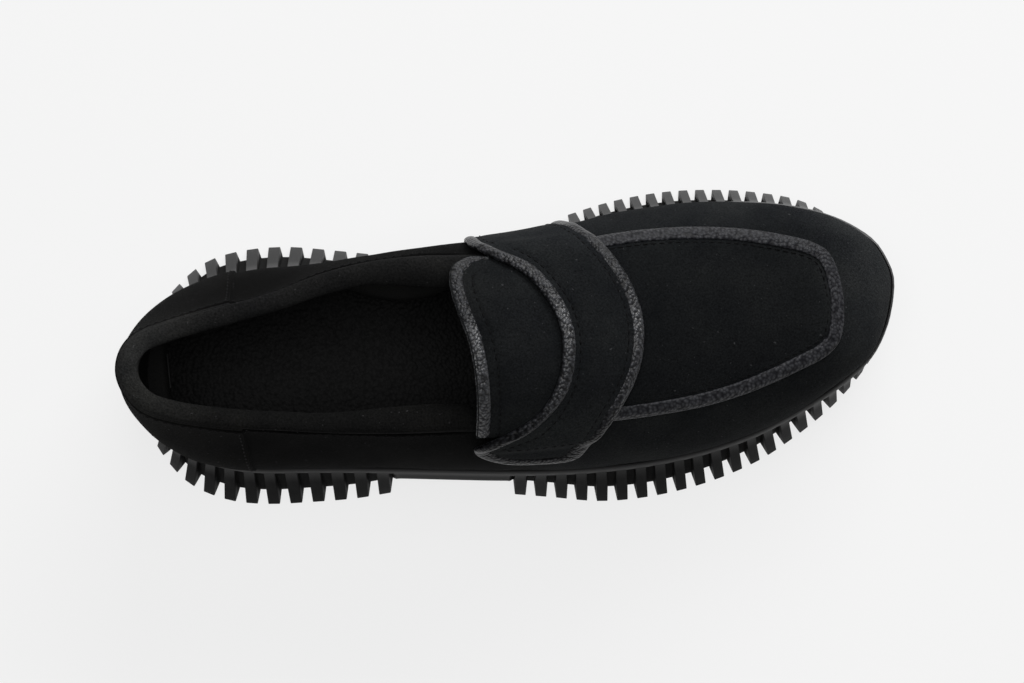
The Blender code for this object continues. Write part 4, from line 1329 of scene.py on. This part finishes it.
def suede_material(name, gain, slopes):
    """Short nap in brushed patches, with specks of dust, and painted light and shade as a tint that follows
    the slopes.
    """
    material, tree, shader = new_material(name, SUEDE_ROUGHNESS, SUEDE_GLOSS)
    shades = [tuple(NAP_GAIN * gain * value for value in colour) for colour in NAP_COLOURS]
    _, brushed = suede_layer(tree, "patch", PATCH_COLOURS)
    nap, fibres = suede_layer(tree, "nap", shades)
    _, specks = suede_layer(tree, "speck", SPECK_COLOURS)
    colour = mixed(tree, "MULTIPLY", brushed, fibres)
    # Painted light and shade: the colour is tinted lighter and darker by place.
    for axis, start, end, *painted_tints in slopes:
        share = slope(tree, axis, start, end, 0.0, 1.0)
        colour = mixed(tree, "MULTIPLY", colour, ramp(tree, share, (0.0, 1.0), painted_tints))
    tree.links.new(mixed(tree, "ADD", colour, specks), shader.inputs["Base Color"])
    roughen(tree, shader, nap, *NAP_BUMP)
    shader.inputs["Sheen Weight"].default_value = SHEEN_WEIGHT
    shader.inputs["Sheen Roughness"].default_value = SHEEN_ROUGHNESS
    return material


def pebbled_material(name):
    low, high, rough, gloss, depth = PEBBLED[name]
    material, tree, shader = new_material(name, rough, gloss)
    cells = texture(
        tree, "ShaderNodeTexVoronoi", feature="SMOOTH_F1", Scale=PEBBLE_SCALE, Smoothness=PEBBLE_SMOOTHNESS)
    distance = cells.outputs["Distance"]
    coat(tree, shader, ramp(tree, distance, PEBBLE_PLACES, (high, low)), gloss, PAINTED_LIGHT_GRADES.get(name))
    roughen(tree, shader, distance, 1.0, depth, invert=True)
    return material


def grained_material(name):
    low, high, scale, rough, gloss = GRAINED[name]
    material, tree, shader = new_material(name, rough, gloss)
    grain = texture(tree, "ShaderNodeTexNoise", Scale=scale, Detail=GRAIN_DETAIL).outputs["Fac"]
    coat(tree, shader, ramp(tree, grain, GRAIN_PLACES, (low, high)), gloss, PAINTED_LIGHT_GRADES.get(name))
    roughen(tree, shader, grain, *GRAIN_BUMP)
    return material


def make_materials():
    made = {name: grained_material(name) for name in GRAINED}
    made.update({name: pebbled_material(name) for name in PEBBLED})
    made["suede"] = suede_material("suede", 1.0, PAINTED_LIGHT_SLOPES)
    # The tongue and strap: a lighter copy of the suede, with painted light.
    made["flap"] = suede_material("suede_flap_lit", FLAP_LIGHT_GAIN, PAINTED_LIGHT_SLOPES)
    # The quarters: a darker copy of the suede, with painted shade.
    made["quarter"] = suede_material("suede_quarter_shaded", 1.0, QUARTER_PAINTED_SHADE)
    made["collar"] = suede_material("suede_collar", COLLAR_GAIN, COLLAR_PAINTED_LIGHT)
    return made


# Stage

def place_camera():
    roll, elevation = math.radians(CAMERA_ROLL), math.radians(CAMERA_ELEVATION)
    right = Vector((math.cos(roll), -math.sin(roll), 0.0))
    ahead = Vector((math.sin(roll), math.cos(roll), 0.0))
    up = Vector((0.0, 0.0, 1.0))
    view = up * math.sin(elevation) - ahead * math.cos(elevation)
    camera = linked_object("camera", bpy.data.cameras.new("camera"))
    camera.location = CAMERA_TARGET + view * CAMERA_DISTANCE
    top = ahead * math.sin(elevation) + up * math.cos(elevation)
    camera.rotation_euler = Matrix((right, top, view)).transposed().to_euler()
    camera.data.sensor_width = SENSOR_WIDTH
    camera.data.lens = SENSOR_WIDTH * PIXELS_PER_METRE * CAMERA_DISTANCE / IMAGE_WIDTH
    camera.data.clip_start = CAMERA_NEAR
    bpy.context.scene.camera = camera


def area_light(name, place, target, size, power):
    lamp = bpy.data.lights.new(name, "AREA")
    lamp.shape = "RECTANGLE"
    lamp.size, lamp.size_y = size
    lamp.energy = power
    obj = linked_object(name, lamp)
    obj.location = place
    obj.rotation_euler = (Vector(place) - Vector(target)).to_track_quat("Z", "Y").to_euler()


def make_floor():
    material, _, shader = new_material("floor", 1.0, 0.0)
    shader.inputs["Base Color"].default_value = (FLOOR_GREY, FLOOR_GREY, FLOOR_GREY, 1)
    shader.inputs["Emission Color"].default_value = (1, 1, 1, 1)
    shader.inputs["Emission Strength"].default_value = FLOOR_GLOW
    half = FLOOR_SIZE / 2
    corners = [(x, y, FLOOR_Z) for x, y in ((-half, -half), (half, -half), (half, half), (-half, half))]
    mesh = bpy.data.meshes.new("floor")
    mesh.from_pydata(corners, [], [(0, 1, 2, 3)])
    mesh.materials.append(material)
    return linked_object("floor", mesh)


def make_stage():
    floor = make_floor()
    world = bpy.data.worlds.new("studio")
    world.use_nodes = True
    background = world.node_tree.nodes["Background"]
    background.inputs["Color"].default_value = (1, 1, 1, 1)
    background.inputs["Strength"].default_value = WORLD_STRENGTH
    bpy.context.scene.world = world
    for light in LIGHTS:
        area_light(*light)
    bpy.context.scene.view_settings.view_transform = "Standard"


def main():
    made = make_materials()
    pieces = [
        (make_outsole([made[name] for name in ("rubber", "board", "rubber_slots_shaded")]), "outsole", "rubber"),
        (make_insole(made["sock"]), "insole", "sock"),
        (make_upper([made[name] for name in ("suede", "lining", "quarter", "collar")]), "upper", "suede"),
        (make_tongue(made["flap"]), "tongue", "suede"),
        (make_strap(made["flap"]), "strap", "suede"),
        (make_apron_piping(made["piping_apron"]), "apron_piping", "piping"),
        (make_tongue_piping(made["piping_tongue"]), "tongue_piping", "piping"),
        (make_strap_piping(made["piping"]), "strap_piping", "piping"),
        (make_sock_edge(made["sock_edge"]), None, "sock"),
        (make_stitches(made["thread"]), None, "suede"),
    ]
    for piece, name, slot_name in pieces:
        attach(piece, "root")
        if name:
            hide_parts(name)
    make_stage()
    place_camera()


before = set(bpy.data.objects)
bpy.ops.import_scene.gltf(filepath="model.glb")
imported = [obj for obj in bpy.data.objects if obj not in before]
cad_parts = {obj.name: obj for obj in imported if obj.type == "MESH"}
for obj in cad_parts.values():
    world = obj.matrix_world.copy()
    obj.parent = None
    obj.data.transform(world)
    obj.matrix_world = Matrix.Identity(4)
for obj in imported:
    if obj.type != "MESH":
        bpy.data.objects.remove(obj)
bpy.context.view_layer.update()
main()
